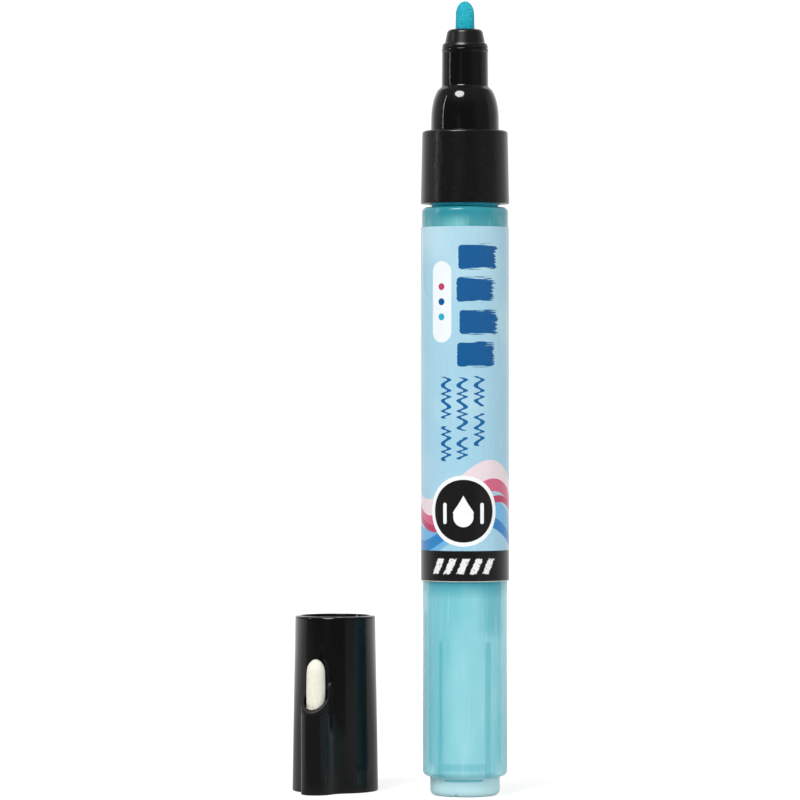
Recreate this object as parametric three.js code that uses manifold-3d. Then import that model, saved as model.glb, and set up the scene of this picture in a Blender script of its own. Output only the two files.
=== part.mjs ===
// An acrylic paint marker, standing nib up beside its cap. Millimetres, +Z up.
// The origin is the centre of the flat foot of the tail plug, and the marker's axis is Z.
import * as THREE from "three";
import { mergeVertices } from "three/addons/utils/BufferGeometryUtils.js";
import Module from "manifold-3d";

const wasm = await Module();
wasm.setup();

// Facets round the large turned pieces, the small ones, and steps of a rounded edge
const roundSides = 40;
const smallSides = 20;
const edgeSteps = 4;

// Clearances: between turned pieces, along the axis, and for pieces that slide
const radialFit = 0.15;
const axialFit = 0.1;
const slidingFit = 0.3;
const restGap = 0.05;

// Barrel
const shoulderRadius = 7.48;
const barrelDraft = 0.17;
const barrelLength = 98.55;
const barrelWall = 1.04;
const shoulderEdge = 1.1;
const tailEdge = 1.2;
const tailCollarHeight = 4.6;
const tailStep = 0.97;

// Neck of the barrel, with the bead that the collar snaps over
const shoulderStep = 1.7;
const neckHeight = 9.4;
const neckWall = 1.13;
const neckBead = 0.37;
const neckBeadRise = 2.6;
const neckBeadHeight = 1.5;

// Label film round the barrel
const labelInset = 3.5;
const labelHeight = 61.2;
const labelGap = 0.03;
const labelTopStand = 0.155;
const labelFootStand = 0.265;

// Tail plug, with the hollow sleeve that stands inside the barrel
const footHeight = 3.35;
const footEdge = 1;
const footLap = 0.72;
const spigotRise = 1;
const spigotChamfer = 0.4;
const sleeveStep = 0.85;
const sleeveWall = 0.85;
const sleeveHeight = 17.7;
const cupFloor = 2.8;
const notchWidth = 0.6;
const notchDepth = 0.4;
const notchSide = 1.65;

// Steel mixing ball
const ballRadius = 2.5;

// Collar that holds the nozzle on the neck
const collarRise = 0.6;
const collarWall = 1.36;
const collarDraft = 0.27;
const collarEdge = 0.5;
const collarRecess = 0.55;
const collarLip = 1.2;
const snapRib = 0.35;
const snapRibHeight = 0.9;

// Neck gasket
const gasketThickness = 0.4;
const gasketWidth = 1.05;

// Nozzle
const nozzleHeight = 16.9;
const nozzleFlange = 1.35;
const nozzleFlangeStep = 0.76;
const nozzleDraft = 0.07;
const nozzleBaseHeight = 4.5;
const ogiveHeight = 6;
const ogiveRunIn = 0.43;
const chamberHeight = 5;
const chamberCone = 1.5;
const spoutWall = 0.825;
const spoutDraft = 0.055;
const spoutBead = 0.065;
const spoutBeadHeight = 0.9;

// Nib holder
const holderWall = 1.2;
const holderStemLength = 10.9;
const holderRingHeight = 0.95;
const holderRingInset = 0.015;
const holderRingDraft = 0.14;
const mouthHeight = 2.41;
const mouthFootWall = 1.64;
const mouthTopWall = 1.22;
const mouthFlatWall = 0.4;
const mouthRound = 0.8;
const grooveCount = 3;
const grooveWidth = 0.5;
const grooveDepth = 0.4;

// Nib and the spare nib
const nibRadius = 1.65;
const nibLength = 22;
const nibTipLength = 2.35;
const nibTaperLength = 2.5;
const nibTaper = 0.05;
const nibChamfer = 0.15;
const nibPress = 2;

// Valve housing
const housingFlange = 0.8;
const housingDepth = 14.7;
const housingWall = 0.8;
const housingCeiling = 3.4;
const bossHeight = 0.87;
const bossStep = 0.1;
const slotCount = 2;
const slotWidth = 0.9;
const slotReach = 0.8;

// Valve seat, stem, spring and the disc that retains the spring
const seatThickness = 0.8;
const seatWidth = 1.65;
const stemRadius = 1.2;
const stemFit = 0.25;
const stemConeRadius = 3;
const stemConeGap = 0.2;
const stemRimHeight = 0.8;
const tailRadius = 1.1;
const tailReach = 2;
const springTurns = 6;
const springWire = 0.45;
const springStepsPerTurn = 10;
const springWireSides = 6;
const retainerThickness = 1.2;
const retainerHoleCount = 4;
const retainerHoleRadius = 0.5;

// Cap shell, standing mouth down beside the marker
const capX = -22.64;
const capY = 9;
const capWall = 1.33;
const capFit = 0.25;
const capDraft = 0.48;
const capEdge = 0.4;
const capRimEdge = 0.15;
const capCrown = 1.5;
const capStep = 0.25;
const capBoreDraft = 0.2;
const gripBead = 0.15;
const gripBeadRise = 5;
const gripBeadHeight = 1;

// Tube on the cap that holds the spare nib, with its slanted mouth
const tubeWall = 0.775;
const tubeSink = 1.015;
const tubeHeight = 16.9;
const tubeFloor = 1.4;
const tubeTurn = THREE.MathUtils.degToRad(21);
const tubeSlant = THREE.MathUtils.degToRad(45);

// Inner cap that seals round the spout
const linerFit = 0.17;
const linerWall = 0.7;
const linerRoof = 1;
const linerStandOff = 1.56;
const linerFlangeHeight = 1;
const nibHeadroom = 3;
const postRadius = 2;
const postHeight = 2.58;

// Heights along the marker, from the foot up
const tailZ = footHeight;
const shoulderZ = tailZ + barrelLength;
const neckTopZ = shoulderZ + neckHeight;
const gasketTopZ = neckTopZ + gasketThickness;
const nozzleZ = gasketTopZ + housingFlange;
const nozzleTopZ = nozzleZ + nozzleHeight;
const nozzleFlangeTopZ = nozzleZ + nozzleFlange;
const collarZ = shoulderZ + collarRise;
const collarLipZ = nozzleFlangeTopZ + axialFit;
const collarTopZ = collarLipZ + collarLip;
const mouthTopZ = nozzleTopZ + holderRingHeight + mouthHeight;
const bossTopZ = nozzleZ + bossHeight;
const nibZ = bossTopZ + nibPress + slidingFit;
const nibTipZ = nibZ + nibLength;
const ceilingZ = nozzleZ - housingCeiling;
const seatZ = ceilingZ - seatThickness;
const housingZ = gasketTopZ - housingDepth;
const retainerTopZ = housingZ + retainerThickness;
const stemTailZ = housingZ - tailReach;
const ballZ = cupFloor + ballRadius + restGap;

// Radii that follow from the barrel outwards and inwards
const tailRadiusOfBarrel = shoulderRadius - barrelDraft;
const barrelBore = tailRadiusOfBarrel - barrelWall;
const tailHole = barrelBore - tailStep;
const spigotRadius = tailHole - axialFit;
const footRadius = tailHole + footLap;
const sleeveRadius = spigotRadius - sleeveStep;
const sleeveBore = sleeveRadius - sleeveWall;
const neckRadius = shoulderRadius - shoulderStep;
const neckBore = neckRadius - neckWall;
const collarBore = neckRadius + neckBead + radialFit;
const collarFootRadius = collarBore + collarWall;
const recessRadius = collarBore + collarRecess;
const nozzleFlangeRadius = recessRadius - radialFit;
const nozzleBaseRadius = nozzleFlangeRadius - nozzleFlangeStep;
const housingRadius = neckBore - radialFit;
const housingFlangeRadius = neckRadius - axialFit;
const valveChamber = housingRadius - housingWall;
const bossRadius = housingRadius - bossStep;
const nozzleChamber = bossRadius + radialFit;

// Radii that follow from the nib outwards
const holderBore = nibRadius + radialFit;
const holderStemRadius = holderBore + holderWall;
const nozzleBore = holderStemRadius + radialFit;
const spoutRadius = nozzleBore + spoutWall;
const spoutFootRadius = spoutRadius + spoutDraft;
const seatRadius = valveChamber - radialFit;
const seatBore = seatRadius - seatWidth;
const stemConeTopZ = seatZ + seatBore - stemRadius - stemConeGap;
const stemRimZ = stemConeTopZ - (stemConeRadius - stemRadius) - stemRimHeight;

// The ogive of the nozzle is part of an ellipse that would run in under the spout
const ogiveCore = spoutFootRadius - ogiveRunIn;
const ogiveZ = nozzleZ + nozzleBaseHeight;
const ogiveFootRadius = nozzleBaseRadius - nozzleDraft;
const ogiveEnd = Math.acos(ogiveRunIn / (ogiveFootRadius - ogiveCore));
const ogiveTopZ = ogiveZ + ogiveHeight * Math.sin(ogiveEnd);

// Sizes of the cap, which closes over the nozzle down to the collar
const capBore = nozzleBaseRadius + capFit;
const capMouthRadius = capBore + capWall;
const linerBore = spoutFootRadius + linerFit;
const linerRadius = linerBore + linerWall;
const linerZ = ogiveTopZ - collarTopZ + linerStandOff;
const linerCeilingZ = nibTipZ - collarTopZ + nibHeadroom;
const linerRoofZ = linerCeilingZ + linerRoof;
const postTopZ = linerRoofZ + postHeight;
const capCeilingZ = postTopZ + axialFit;
const capHeight = capCeilingZ + capCrown;
const tubeBore = nibRadius + radialFit;
const tubeRadius = tubeBore + tubeWall;
const tubeReach = capMouthRadius + tubeRadius - tubeSink;
const tubeX = -tubeReach * Math.sin(tubeTurn);
const tubeY = -tubeReach * Math.cos(tubeTurn);

// Points of an elliptic arc in the r, z half plane, angles in radians from +r towards +z
function arc(r, z, radial, axial, from, to, steps = edgeSteps) {
  return Array.from({ length: steps + 1 }, (_, i) => {
    const angle = from + ((to - from) * i) / steps;
    return [r + radial * Math.cos(angle), z + axial * Math.sin(angle)];
  });
}

// A quarter-round edge between a face square to the axis and an outer wall
function lowerEdge(radius, z, edge) {
  return arc(radius - edge, z + edge, edge, edge, -Math.PI / 2, 0);
}

function upperEdge(radius, z, edge) {
  return arc(radius - edge, z - edge, edge, edge, 0, Math.PI / 2);
}

// A solid of revolution about Z from [r, z] points that start and end on the axis
function turned(points, sides) {
  const profile = points.map(([r, z]) => new THREE.Vector2(Math.max(r, 0), z));
  return new THREE.LatheGeometry(profile, sides).rotateX(Math.PI / 2);
}

// A ring-shaped solid of revolution, whose profile closes on itself
function turnedRing(points, sides) {
  return turned([...points, points[0]], sides);
}

function rod(radius, z0, z1, sides = smallSides) {
  return turned([[0, z0], [radius, z0], [radius, z1], [0, z1]], sides);
}

// Geometry to solid and back, for cuts and joins
function solidOf(geometry) {
  const bare = geometry.index ? geometry.clone() : geometry;
  bare.deleteAttribute("normal");
  bare.deleteAttribute("uv");
  const merged = mergeVertices(bare, 1e-4);
  const vertProperties = new Float32Array(merged.attributes.position.array);
  const triVerts = new Uint32Array(merged.index.array);
  return new wasm.Manifold(new wasm.Mesh({ numProp: 3, vertProperties, triVerts }));
}

function geometryOf(solid) {
  const mesh = solid.getMesh();
  const geometry = new THREE.BufferGeometry();
  const position = new THREE.BufferAttribute(new Float32Array(mesh.vertProperties), 3);
  geometry.setAttribute("position", position);
  geometry.setIndex(new THREE.BufferAttribute(new Uint32Array(mesh.triVerts), 1));
  geometry.computeVertexNormals();
  return geometry;
}

function cut(geometry, cutters) {
  let solid = solidOf(geometry);
  for (const cutter of cutters) {
    solid = solid.subtract(solidOf(cutter));
  }
  return geometryOf(solid);
}

// Outer radius of the barrel's wall at a height
function barrelRadiusAt(z) {
  const share = (z - tailZ) / barrelLength;
  return tailRadiusOfBarrel + barrelDraft * share;
}

function barrelGeometry() {
  const beadZ = shoulderZ + neckBeadRise;
  const innerShoulderZ = shoulderZ - shoulderEdge;
  return turnedRing([
    [tailHole, tailZ],
    ...lowerEdge(tailRadiusOfBarrel, tailZ, tailEdge),
    ...upperEdge(shoulderRadius, shoulderZ, shoulderEdge),
    [neckRadius, shoulderZ],
    [neckRadius, beadZ],
    [neckRadius + neckBead, beadZ + neckBead],
    [neckRadius + neckBead, beadZ + neckBeadHeight - neckBead],
    [neckRadius, beadZ + neckBeadHeight],
    [neckRadius, neckTopZ],
    [neckBore, neckTopZ],
    [neckBore, innerShoulderZ],
    [barrelBore, innerShoulderZ - (barrelBore - neckBore)],
    [barrelBore, tailZ + tailCollarHeight + tailStep],
    [tailHole, tailZ + tailCollarHeight],
  ], roundSides);
}

function labelGeometry() {
  const z1 = shoulderZ - labelInset;
  const z0 = z1 - labelHeight;
  return turnedRing([
    [barrelRadiusAt(z0) + labelGap, z0],
    [barrelRadiusAt(z0) + labelFootStand, z0],
    [barrelRadiusAt(z1) + labelTopStand, z1],
    [barrelRadiusAt(z1) + labelGap, z1],
  ], roundSides);
}

function tailPlugGeometry() {
  const spigotTopZ = tailZ + tailCollarHeight + spigotRise;
  const sleeveTopZ = spigotTopZ + sleeveHeight;
  const plug = turned([
    [0, 0],
    ...lowerEdge(footRadius, 0, footEdge),
    [footRadius, footHeight],
    [spigotRadius, footHeight],
    [spigotRadius, spigotTopZ - spigotChamfer],
    [spigotRadius - spigotChamfer, spigotTopZ],
    [sleeveRadius, spigotTopZ],
    [sleeveRadius, sleeveTopZ],
    [sleeveBore, sleeveTopZ],
    [sleeveBore, cupFloor],
    [0, cupFloor],
  ], roundSides);
  const notch = new THREE.BoxGeometry(notchWidth, 2 * notchDepth, 2 * footEdge);
  notch.translate(-notchSide, -Math.sqrt(footRadius ** 2 - notchSide ** 2), 0);
  return cut(plug, [notch]);
}

function mixingBallGeometry() {
  return new THREE.SphereGeometry(ballRadius, 20, 12).rotateX(Math.PI / 2);
}

function collarGeometry() {
  const ribZ = shoulderZ + neckBeadRise - axialFit - snapRibHeight;
  const lipHole = nozzleBaseRadius + radialFit;
  return turnedRing([
    [collarBore, collarZ],
    [collarFootRadius, collarZ],
    ...upperEdge(collarFootRadius - collarDraft, collarTopZ, collarEdge),
    [lipHole, collarTopZ],
    [lipHole, collarLipZ],
    [recessRadius, collarLipZ],
    [recessRadius, nozzleZ - axialFit],
    [collarBore, nozzleZ - axialFit - collarRecess],
    [collarBore, ribZ + snapRibHeight],
    [collarBore - snapRib, ribZ + snapRibHeight],
    [collarBore - snapRib, ribZ + snapRib],
    [collarBore, ribZ],
  ], roundSides);
}

function neckGasketGeometry() {
  return turnedRing([
    [housingFlangeRadius - gasketWidth, neckTopZ],
    [housingFlangeRadius, neckTopZ],
    [housingFlangeRadius, gasketTopZ],
    [housingFlangeRadius - gasketWidth, gasketTopZ],
  ], roundSides);
}

function nozzleGeometry() {
  const beadZ = nozzleTopZ - spoutBeadHeight;
  const chamberTopZ = nozzleZ + chamberHeight;
  return turnedRing([
    [nozzleChamber, nozzleZ],
    [nozzleFlangeRadius, nozzleZ],
    [nozzleFlangeRadius, nozzleFlangeTopZ],
    [nozzleBaseRadius, nozzleFlangeTopZ],
    ...arc(ogiveCore, ogiveZ, ogiveFootRadius - ogiveCore, ogiveHeight, 0, ogiveEnd, 2 * edgeSteps),
    [spoutRadius, beadZ],
    [spoutRadius + spoutBead, nozzleTopZ - spoutBead],
    [spoutRadius, nozzleTopZ],
    [nozzleBore, nozzleTopZ],
    [nozzleBore, chamberTopZ + chamberCone],
    [nozzleChamber, chamberTopZ],
  ], roundSides);
}

function nibHolderGeometry() {
  const ringTopZ = nozzleTopZ + holderRingHeight;
  const ringRadius = spoutRadius - holderRingInset;
  const stemZ = nozzleTopZ - holderStemLength;
  const mouthTopRadius = holderBore + mouthTopWall;
  const mouthFlatRadius = holderBore + mouthFlatWall;
  const roundWidth = mouthTopRadius - mouthFlatRadius;
  const holder = turnedRing([
    [holderBore, stemZ],
    [holderStemRadius, stemZ],
    [holderStemRadius, nozzleTopZ],
    [ringRadius, nozzleTopZ],
    [ringRadius - holderRingDraft, ringTopZ],
    [holderBore + mouthFootWall, ringTopZ],
    ...arc(mouthFlatRadius, mouthTopZ - mouthRound, roundWidth, mouthRound, 0, Math.PI / 2),
    [holderBore, mouthTopZ],
  ], roundSides);
  const grooves = Array.from({ length: grooveCount }, (_, i) => {
    const groove = new THREE.BoxGeometry(grooveWidth, holderBore + grooveDepth, holderStemLength);
    groove.translate(0, (holderBore + grooveDepth) / 2, stemZ + holderStemLength / 2 - axialFit);
    return groove.rotateZ((2 * Math.PI * i) / grooveCount);
  });
  return cut(holder, grooves);
}

// A nib with its base at the origin and its rounded tip up
function nibGeometry() {
  const tipRadius = nibRadius - nibTaper;
  return turned([
    [0, 0],
    [nibRadius - nibChamfer, 0],
    [nibRadius, nibChamfer],
    [nibRadius, nibLength - nibTipLength - nibTaperLength],
    ...arc(0, nibLength - nibTipLength, tipRadius, nibTipLength, 0, Math.PI / 2, 2 * edgeSteps),
  ], smallSides);
}

function valveHousingGeometry() {
  const guideBore = stemRadius + stemFit;
  const housing = turnedRing([
    [valveChamber, housingZ],
    [housingRadius, housingZ],
    [housingRadius, gasketTopZ],
    [housingFlangeRadius, gasketTopZ],
    [housingFlangeRadius, nozzleZ],
    [bossRadius, nozzleZ],
    [bossRadius, bossTopZ],
    [guideBore, bossTopZ],
    [guideBore, ceilingZ],
    [valveChamber, ceilingZ],
  ], roundSides);
  const slotLength = 2 * (guideBore + slotReach);
  const slots = Array.from({ length: slotCount }, (_, i) => {
    const slot = new THREE.BoxGeometry(slotLength, slotWidth, 2 * (bossTopZ - ceilingZ));
    return slot.rotateZ((Math.PI * i) / slotCount).translate(0, 0, bossTopZ);
  });
  return cut(housing, slots);
}

function valveSeatGeometry() {
  return turnedRing([
    [seatBore, seatZ],
    [seatRadius, seatZ],
    [seatRadius, ceilingZ],
    [seatBore, ceilingZ],
  ], smallSides);
}

// Rod that the nib stands on, with the cone that closes against the seat
function valveStemGeometry() {
  return turned([
    [0, stemTailZ],
    [tailRadius, stemTailZ],
    [tailRadius, stemRimZ],
    [stemConeRadius, stemRimZ],
    [stemConeRadius, stemRimZ + stemRimHeight],
    [stemRadius, stemConeTopZ],
    [stemRadius, nibZ],
    [0, nibZ],
  ], smallSides);
}

class Helix extends THREE.Curve {
  constructor(radius, z0, z1, turns) {
    super();
    Object.assign(this, { radius, z0, z1, turns });
  }

  getPoint(t, target = new THREE.Vector3()) {
    const angle = 2 * Math.PI * this.turns * t;
    const z = this.z0 + (this.z1 - this.z0) * t;
    return target.set(this.radius * Math.cos(angle), this.radius * Math.sin(angle), z);
  }
}

function valveSpringGeometry() {
  const wireRadius = springWire / 2;
  const endGap = wireRadius + axialFit;
  const meanRadius = (tailRadius + valveChamber) / 2;
  const path = new Helix(meanRadius, retainerTopZ + endGap, stemRimZ - endGap, springTurns);
  const section = new THREE.Shape(
    Array.from({ length: springWireSides }, (_, i) => {
      const angle = (2 * Math.PI * i) / springWireSides;
      return new THREE.Vector2(wireRadius * Math.cos(angle), wireRadius * Math.sin(angle));
    }),
  );
  return new THREE.ExtrudeGeometry(section, {
    steps: springTurns * springStepsPerTurn,
    extrudePath: path,
    curveSegments: 1,
  });
}

function springRetainerGeometry() {
  const outer = valveChamber - axialFit;
  const hole = tailRadius + slidingFit;
  const disc = turnedRing([
    [hole, housingZ],
    [outer, housingZ],
    [outer, retainerTopZ],
    [hole, retainerTopZ],
  ], smallSides);
  const flowHoles = Array.from({ length: retainerHoleCount }, (_, i) => {
    const drill = rod(retainerHoleRadius, housingZ - 1, retainerTopZ + 1, smallSides / 2);
    drill.translate((hole + outer) / 2, 0, 0);
    return drill.rotateZ((2 * Math.PI * i) / retainerHoleCount);
  });
  return cut(disc, flowHoles);
}

// The shell alone, a tapered cup with its mouth down, in the cap's own frame
function capCup() {
  const beadRadius = capBore - gripBead;
  const upperBore = capBore - capStep;
  return turned([
    [0, capCeilingZ],
    [upperBore - capBoreDraft, capCeilingZ],
    [upperBore, linerZ],
    [capBore, linerZ - capStep],
    [capBore, gripBeadRise + gripBeadHeight],
    [beadRadius, gripBeadRise + gripBeadHeight / 2],
    [capBore, gripBeadRise],
    [capBore, 0],
    ...lowerEdge(capMouthRadius, 0, capRimEdge),
    ...upperEdge(capMouthRadius - capDraft, capHeight, capEdge),
    [0, capHeight],
  ], roundSides);
}

// A block whose slanted lower face, falling away from the cap, makes the tube's mouth
function mouthCutter() {
  const side = 6 * tubeRadius;
  const block = new THREE.BoxGeometry(side, side, side);
  block.translate(0, 0, side / 2);
  block.rotateX(tubeSlant);
  return block.translate(0, 0, tubeHeight);
}

function capShellGeometry() {
  const tallest = tubeHeight + tubeRadius * Math.tan(tubeSlant);
  const place = (geometry) => geometry.rotateZ(-tubeTurn).translate(tubeX, tubeY, 0);
  const tube = cut(rod(tubeRadius, 0, tallest), [mouthCutter()]);
  const bore = rod(tubeBore, tubeFloor, tallest + tubeWall);
  return geometryOf(
    solidOf(capCup()).add(solidOf(place(tube))).subtract(solidOf(place(bore))),
  );
}

function innerCapGeometry() {
  const flangeRadius = capBore - capStep - radialFit;
  return turned([
    [0, linerCeilingZ],
    [linerBore, linerCeilingZ],
    [linerBore, linerZ],
    [flangeRadius, linerZ],
    [flangeRadius, linerZ + linerFlangeHeight],
    [linerRadius, linerZ + linerFlangeHeight],
    [linerRadius, linerRoofZ],
    [postRadius, linerRoofZ],
    [postRadius, postTopZ],
    [0, postTopZ],
  ], roundSides);
}

function piece(name, geometry, color, roughness, metalness = 0) {
  const material = new THREE.MeshStandardMaterial({ color, roughness, metalness });
  const mesh = new THREE.Mesh(geometry, material);
  mesh.name = name;
  return mesh;
}

const marker = new THREE.Group();
marker.add(
  piece("barrel", barrelGeometry(), 0x84cdd7, 0.35),
  piece("label_sleeve", labelGeometry(), 0xaedbeb, 0.4),
  piece("tail_plug", tailPlugGeometry(), 0xb0d7de, 0.35),
  piece("collar", collarGeometry(), 0x191919, 0.45),
  piece("neck_gasket", neckGasketGeometry(), 0xe8e8e2, 0.6),
  piece("nozzle", nozzleGeometry(), 0x141414, 0.2),
  piece("nib_holder", nibHolderGeometry(), 0x141414, 0.2),
  piece("valve_housing", valveHousingGeometry(), 0xe6e8e8, 0.4),
  piece("valve_seat", valveSeatGeometry(), 0x2a2a2a, 0.7),
  piece("valve_stem", valveStemGeometry(), 0xe6e8e8, 0.4),
  piece("valve_spring", valveSpringGeometry(), 0xb8bcc0, 0.3, 1),
  piece("spring_retainer", springRetainerGeometry(), 0xe6e8e8, 0.4),
);

const mixingBall = piece("mixing_ball", mixingBallGeometry(), 0xc4c8cc, 0.2, 1);
mixingBall.position.z = ballZ;
const nib = piece("nib", nibGeometry(), 0x2dafc3, 0.85);
nib.position.z = nibZ;
marker.add(mixingBall, nib);

const cap = new THREE.Group();
cap.position.set(capX, capY, 0);
const spareNib = piece("spare_nib", nibGeometry(), 0xeeeede, 0.85);
spareNib.position.set(tubeX, tubeY, tubeFloor + restGap);
cap.add(
  piece("cap_shell", capShellGeometry(), 0x141414, 0.2),
  piece("inner_cap", innerCapGeometry(), 0xe6e8e8, 0.4),
  spareNib,
);

const markerWithCap = new THREE.Group();
markerWithCap.add(marker, cap);

export default markerWithCap;
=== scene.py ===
"""The looks of a paint marker standing nib up beside its cap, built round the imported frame.

Profiles are in millimetres in the frame's axes and turned to metres when a mesh is made.
"""
import math

import bpy
import numpy as np
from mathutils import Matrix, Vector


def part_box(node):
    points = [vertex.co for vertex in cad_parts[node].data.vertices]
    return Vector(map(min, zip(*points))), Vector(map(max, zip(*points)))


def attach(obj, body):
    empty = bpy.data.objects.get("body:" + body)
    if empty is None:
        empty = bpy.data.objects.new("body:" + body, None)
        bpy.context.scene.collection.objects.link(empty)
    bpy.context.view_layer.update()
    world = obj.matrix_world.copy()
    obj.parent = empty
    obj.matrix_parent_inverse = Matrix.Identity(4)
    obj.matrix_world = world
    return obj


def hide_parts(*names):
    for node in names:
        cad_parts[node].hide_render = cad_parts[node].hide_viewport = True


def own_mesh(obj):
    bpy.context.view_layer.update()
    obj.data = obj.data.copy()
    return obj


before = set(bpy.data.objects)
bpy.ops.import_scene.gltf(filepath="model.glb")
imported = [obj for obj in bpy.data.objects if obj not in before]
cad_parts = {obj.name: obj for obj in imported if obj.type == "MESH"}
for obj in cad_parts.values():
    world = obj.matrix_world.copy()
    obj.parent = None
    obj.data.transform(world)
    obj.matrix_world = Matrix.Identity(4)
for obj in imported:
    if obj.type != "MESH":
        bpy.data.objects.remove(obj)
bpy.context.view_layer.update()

MM = 0.001
SIDES = 144  # faces round the marker
SMALL_SIDES = 72  # faces round a nib, the liner or a bore
ARC_STEPS = 7  # points on a fillet
GUARD = 0.12  # mm from an edge to the point that keeps the shading beside it flat
CORNER_SHARE = 0.48  # most of a side that a fillet may take
SHARP_DEGREES = 35
SEED = 11


def span(node):
    """Lowest and highest Z and the largest radius, in mm, of a node round the marker's axis."""
    low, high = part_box(node)
    return low.z / MM, high.z / MM, high.x / MM


def upright(node):
    """X and Y, in mm, of the vertical through the middle of a node."""
    return [(low + high) / 2 / MM for low, high in zip(*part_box(node))][:2]


# Places that come from the frame
TAIL_Z, NECK_TOP_Z, SHOULDER_RADIUS = span("barrel")
LABEL_Z, LABEL_TOP_Z, LABEL_RADIUS = span("label_sleeve")
COLLAR_Z, COLLAR_TOP_Z, COLLAR_RADIUS = span("collar")
NOZZLE_Z, NOZZLE_TOP_Z, NOZZLE_FLANGE_RADIUS = span("nozzle")
HOLDER_Z, MOUTH_TOP_Z, RING_RADIUS = span("nib_holder")
NIB_Z, NIB_TIP_Z, NIB_RADIUS = span("nib")
_, SLEEVE_TOP_Z, FOOT_RADIUS = span("tail_plug")
SPRING_Z, SPRING_TOP_Z, SPRING_RADIUS = span("valve_spring")
CAP_AXIS = upright("inner_cap")
CAP_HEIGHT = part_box("cap_shell")[1].z / MM
SPARE_AXIS = upright("spare_nib")
SPARE_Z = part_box("spare_nib")[0].z / MM
LINER_Z, LINER_TOP_Z = (corner.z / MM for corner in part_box("inner_cap"))

# Barrel and plug
NECK_HEIGHT = 9.4
NECK_RADIUS = 5.78
SHOULDER_Z = NECK_TOP_Z - NECK_HEIGHT
BARREL_TAIL_RADIUS = 7.31
BARREL_BORE = 6.27
NECK_BORE = 4.65
TAIL_HOLE = 5.3
SPIGOT_RADIUS = 5.2
SPIGOT_TOP_Z = 8.95
SLEEVE_RADIUS = 4.35
SLEEVE_BORE = 3.5
CUP_FLOOR = 2.8
NOTCH_RADIUS = 4.2
NOTCH_X = -1.65
NOTCH_HALF = 0.5
NOTCH_RISE = 0.32
NOTCH_FADE = 1.3
FOOT_FLAT_RADIUS = 4.85

# Collar
COLLAR_TAPER = 0.27
COLLAR_LIP = 1.2
COLLAR_LIP_BORE = 6.09
COLLAR_BORE = 6.85
COLLAR_FOOT_BORE = 6.3

# Nozzle and mouth piece
FLANGE_HEIGHT = 1.35
OGIVE_CENTRE = 3.6
OGIVE_WIDTH = 2.27
OGIVE_RISE = 4.5
OGIVE_LENGTH = 6.0
OGIVE_END = 79.1  # degrees up the ellipse
OGIVE_POINTS = 28
FILLET_POINTS = 7
SPOUT_RADIUS = 4.04
SPOUT_BORE = 3.15
CHAMBER_BORE = 4.6
HOLDER_BORE = 1.8
HOLDER_STEM_RADIUS = 3.0
GROOVE_RADIUS = 3.46
GROOVE_HEIGHT = 0.95

# Nibs
TIP_LENGTH = 2.35
TIP_TAPER = 2.5
TIP_RADIUS = 1.6
NIB_FUZZ = 0.02
NIB_FOOT_ROUND = 0.15
SHAFT_RINGS = 60
TIP_RINGS = 26

# Cap
CAP_MOUTH_RADIUS = 7.52
CAP_CROWN_RADIUS = 7.04
CAP_BORE = 6.19
CAP_UPPER_BORE = 5.94
CAP_CEILING = CAP_HEIGHT - 1.5
TUBE_RADIUS = 2.575
TUBE_BORE = 1.8
TUBE_MOUTH = 2.08
TUBE_FLOOR = 1.4
TUBE_STEP_Z = 13.0
TUBE_HEIGHT = 16.9
CUTTER_TOP_Z = 26
TUBE_FILLET = 3.2
GROOVE_FILLET = 0.7
FILLET_TURN = 3.0  # mm across the tube over which the groove's fillet widens to the tube's
FILLET_FADE = 0.85  # most of that widening that is lost towards the mouth
FILLET_FADE_Z = 9
FILLET_FADE_HEIGHT = 6
LIP_ROUND = 0.12
SEARCH_REACH = 6.0  # mm outside the cup that is past the tube
HALVINGS = 30
LOBE_DEGREES = 30
FINE_DEGREES = 0.4
COARSE_DEGREES = 3.0
LOBE_TOP_Z = 22
WALL_TOP_Z = 29.2
WALL_LEVELS = ((0.6, 14, 0.4), (14, 20.5, 0.08), (20.5, WALL_TOP_Z, 0.8))  # first, last, step
SATIN_FADE_Z = 18
SATIN_END_Z = 20
RIM_ROUND = 0.25
GRIP_Z = 5.5
DISH_RADIUS = 6.0
DISH_DEPTH = 0.7

# Liner
LINER_BORE = 4.18
LINER_WALL = 1.0
LINER_RADIUS = 4.9
LINER_FLANGE_RADIUS = 5.75
LINER_CEILING = LINER_TOP_Z - 3.58
POST_RADIUS = 2.0

# Valve spring
SPRING_TURNS = 6
SPRING_WIRE = 0.45
STEPS_A_TURN = 40
WIRE_SIDES = 16

# Print: mm round the barrel, from its front or back, and mm of height; a half size has a round added
PRINT_EDGE = 0.05
GROUND_HEIGHTS = (42.0, 98.0)
DAB_BLUE = "#025691"
RASPBERRY = "#b93c63"
DISC_WHITE = "#f1f3f3"
DAB_HALF = 1.45
DAB_ROUND = 0.7
PILL = (-4.4, 85.4)
PILL_HALF = (0, 5.1)
PILL_ROUND = 1.9
DOT_STEP = 2.6
DOT_RADIUS = 0.6
PEN_TURN = 4.4  # radians a mm
PEN_DRIFT = 1.9
PEN_SWING = 0.62
PEN_HALF = 0.42
LOOPS_HALF = 0.8
LOOPS_ROUND = 0.2
PANEL = (0, 80.0)
PANEL_HALF = (4.6, 11.6)
PANEL_ROUND = 0.8
RULED = (0, 80.6)
RULED_HALF = (3.9, 9.3)
RULED_ROUND = 0.1
RULE_STEP = 2.6
RULE_HALF = 0.2
DISC = (-0.4, 49.4)
DISC_RADIUS = 5.4
DISC_RIM_RADIUS = 6.1
BULB_FALL = 1.0
BULB_RADIUS = 1.75
POINT_RISE = 0.75
POINT_INRADIUS = 0.95
DROP_BLEND = 0.9
TICK_OFF = 3.3
TICK_FALL = 0.4
TICK_HALF = (0, 1.5)
TICK_ROUND = 0.33
BAND_TOP_Z = LABEL_Z + 5.35
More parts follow.
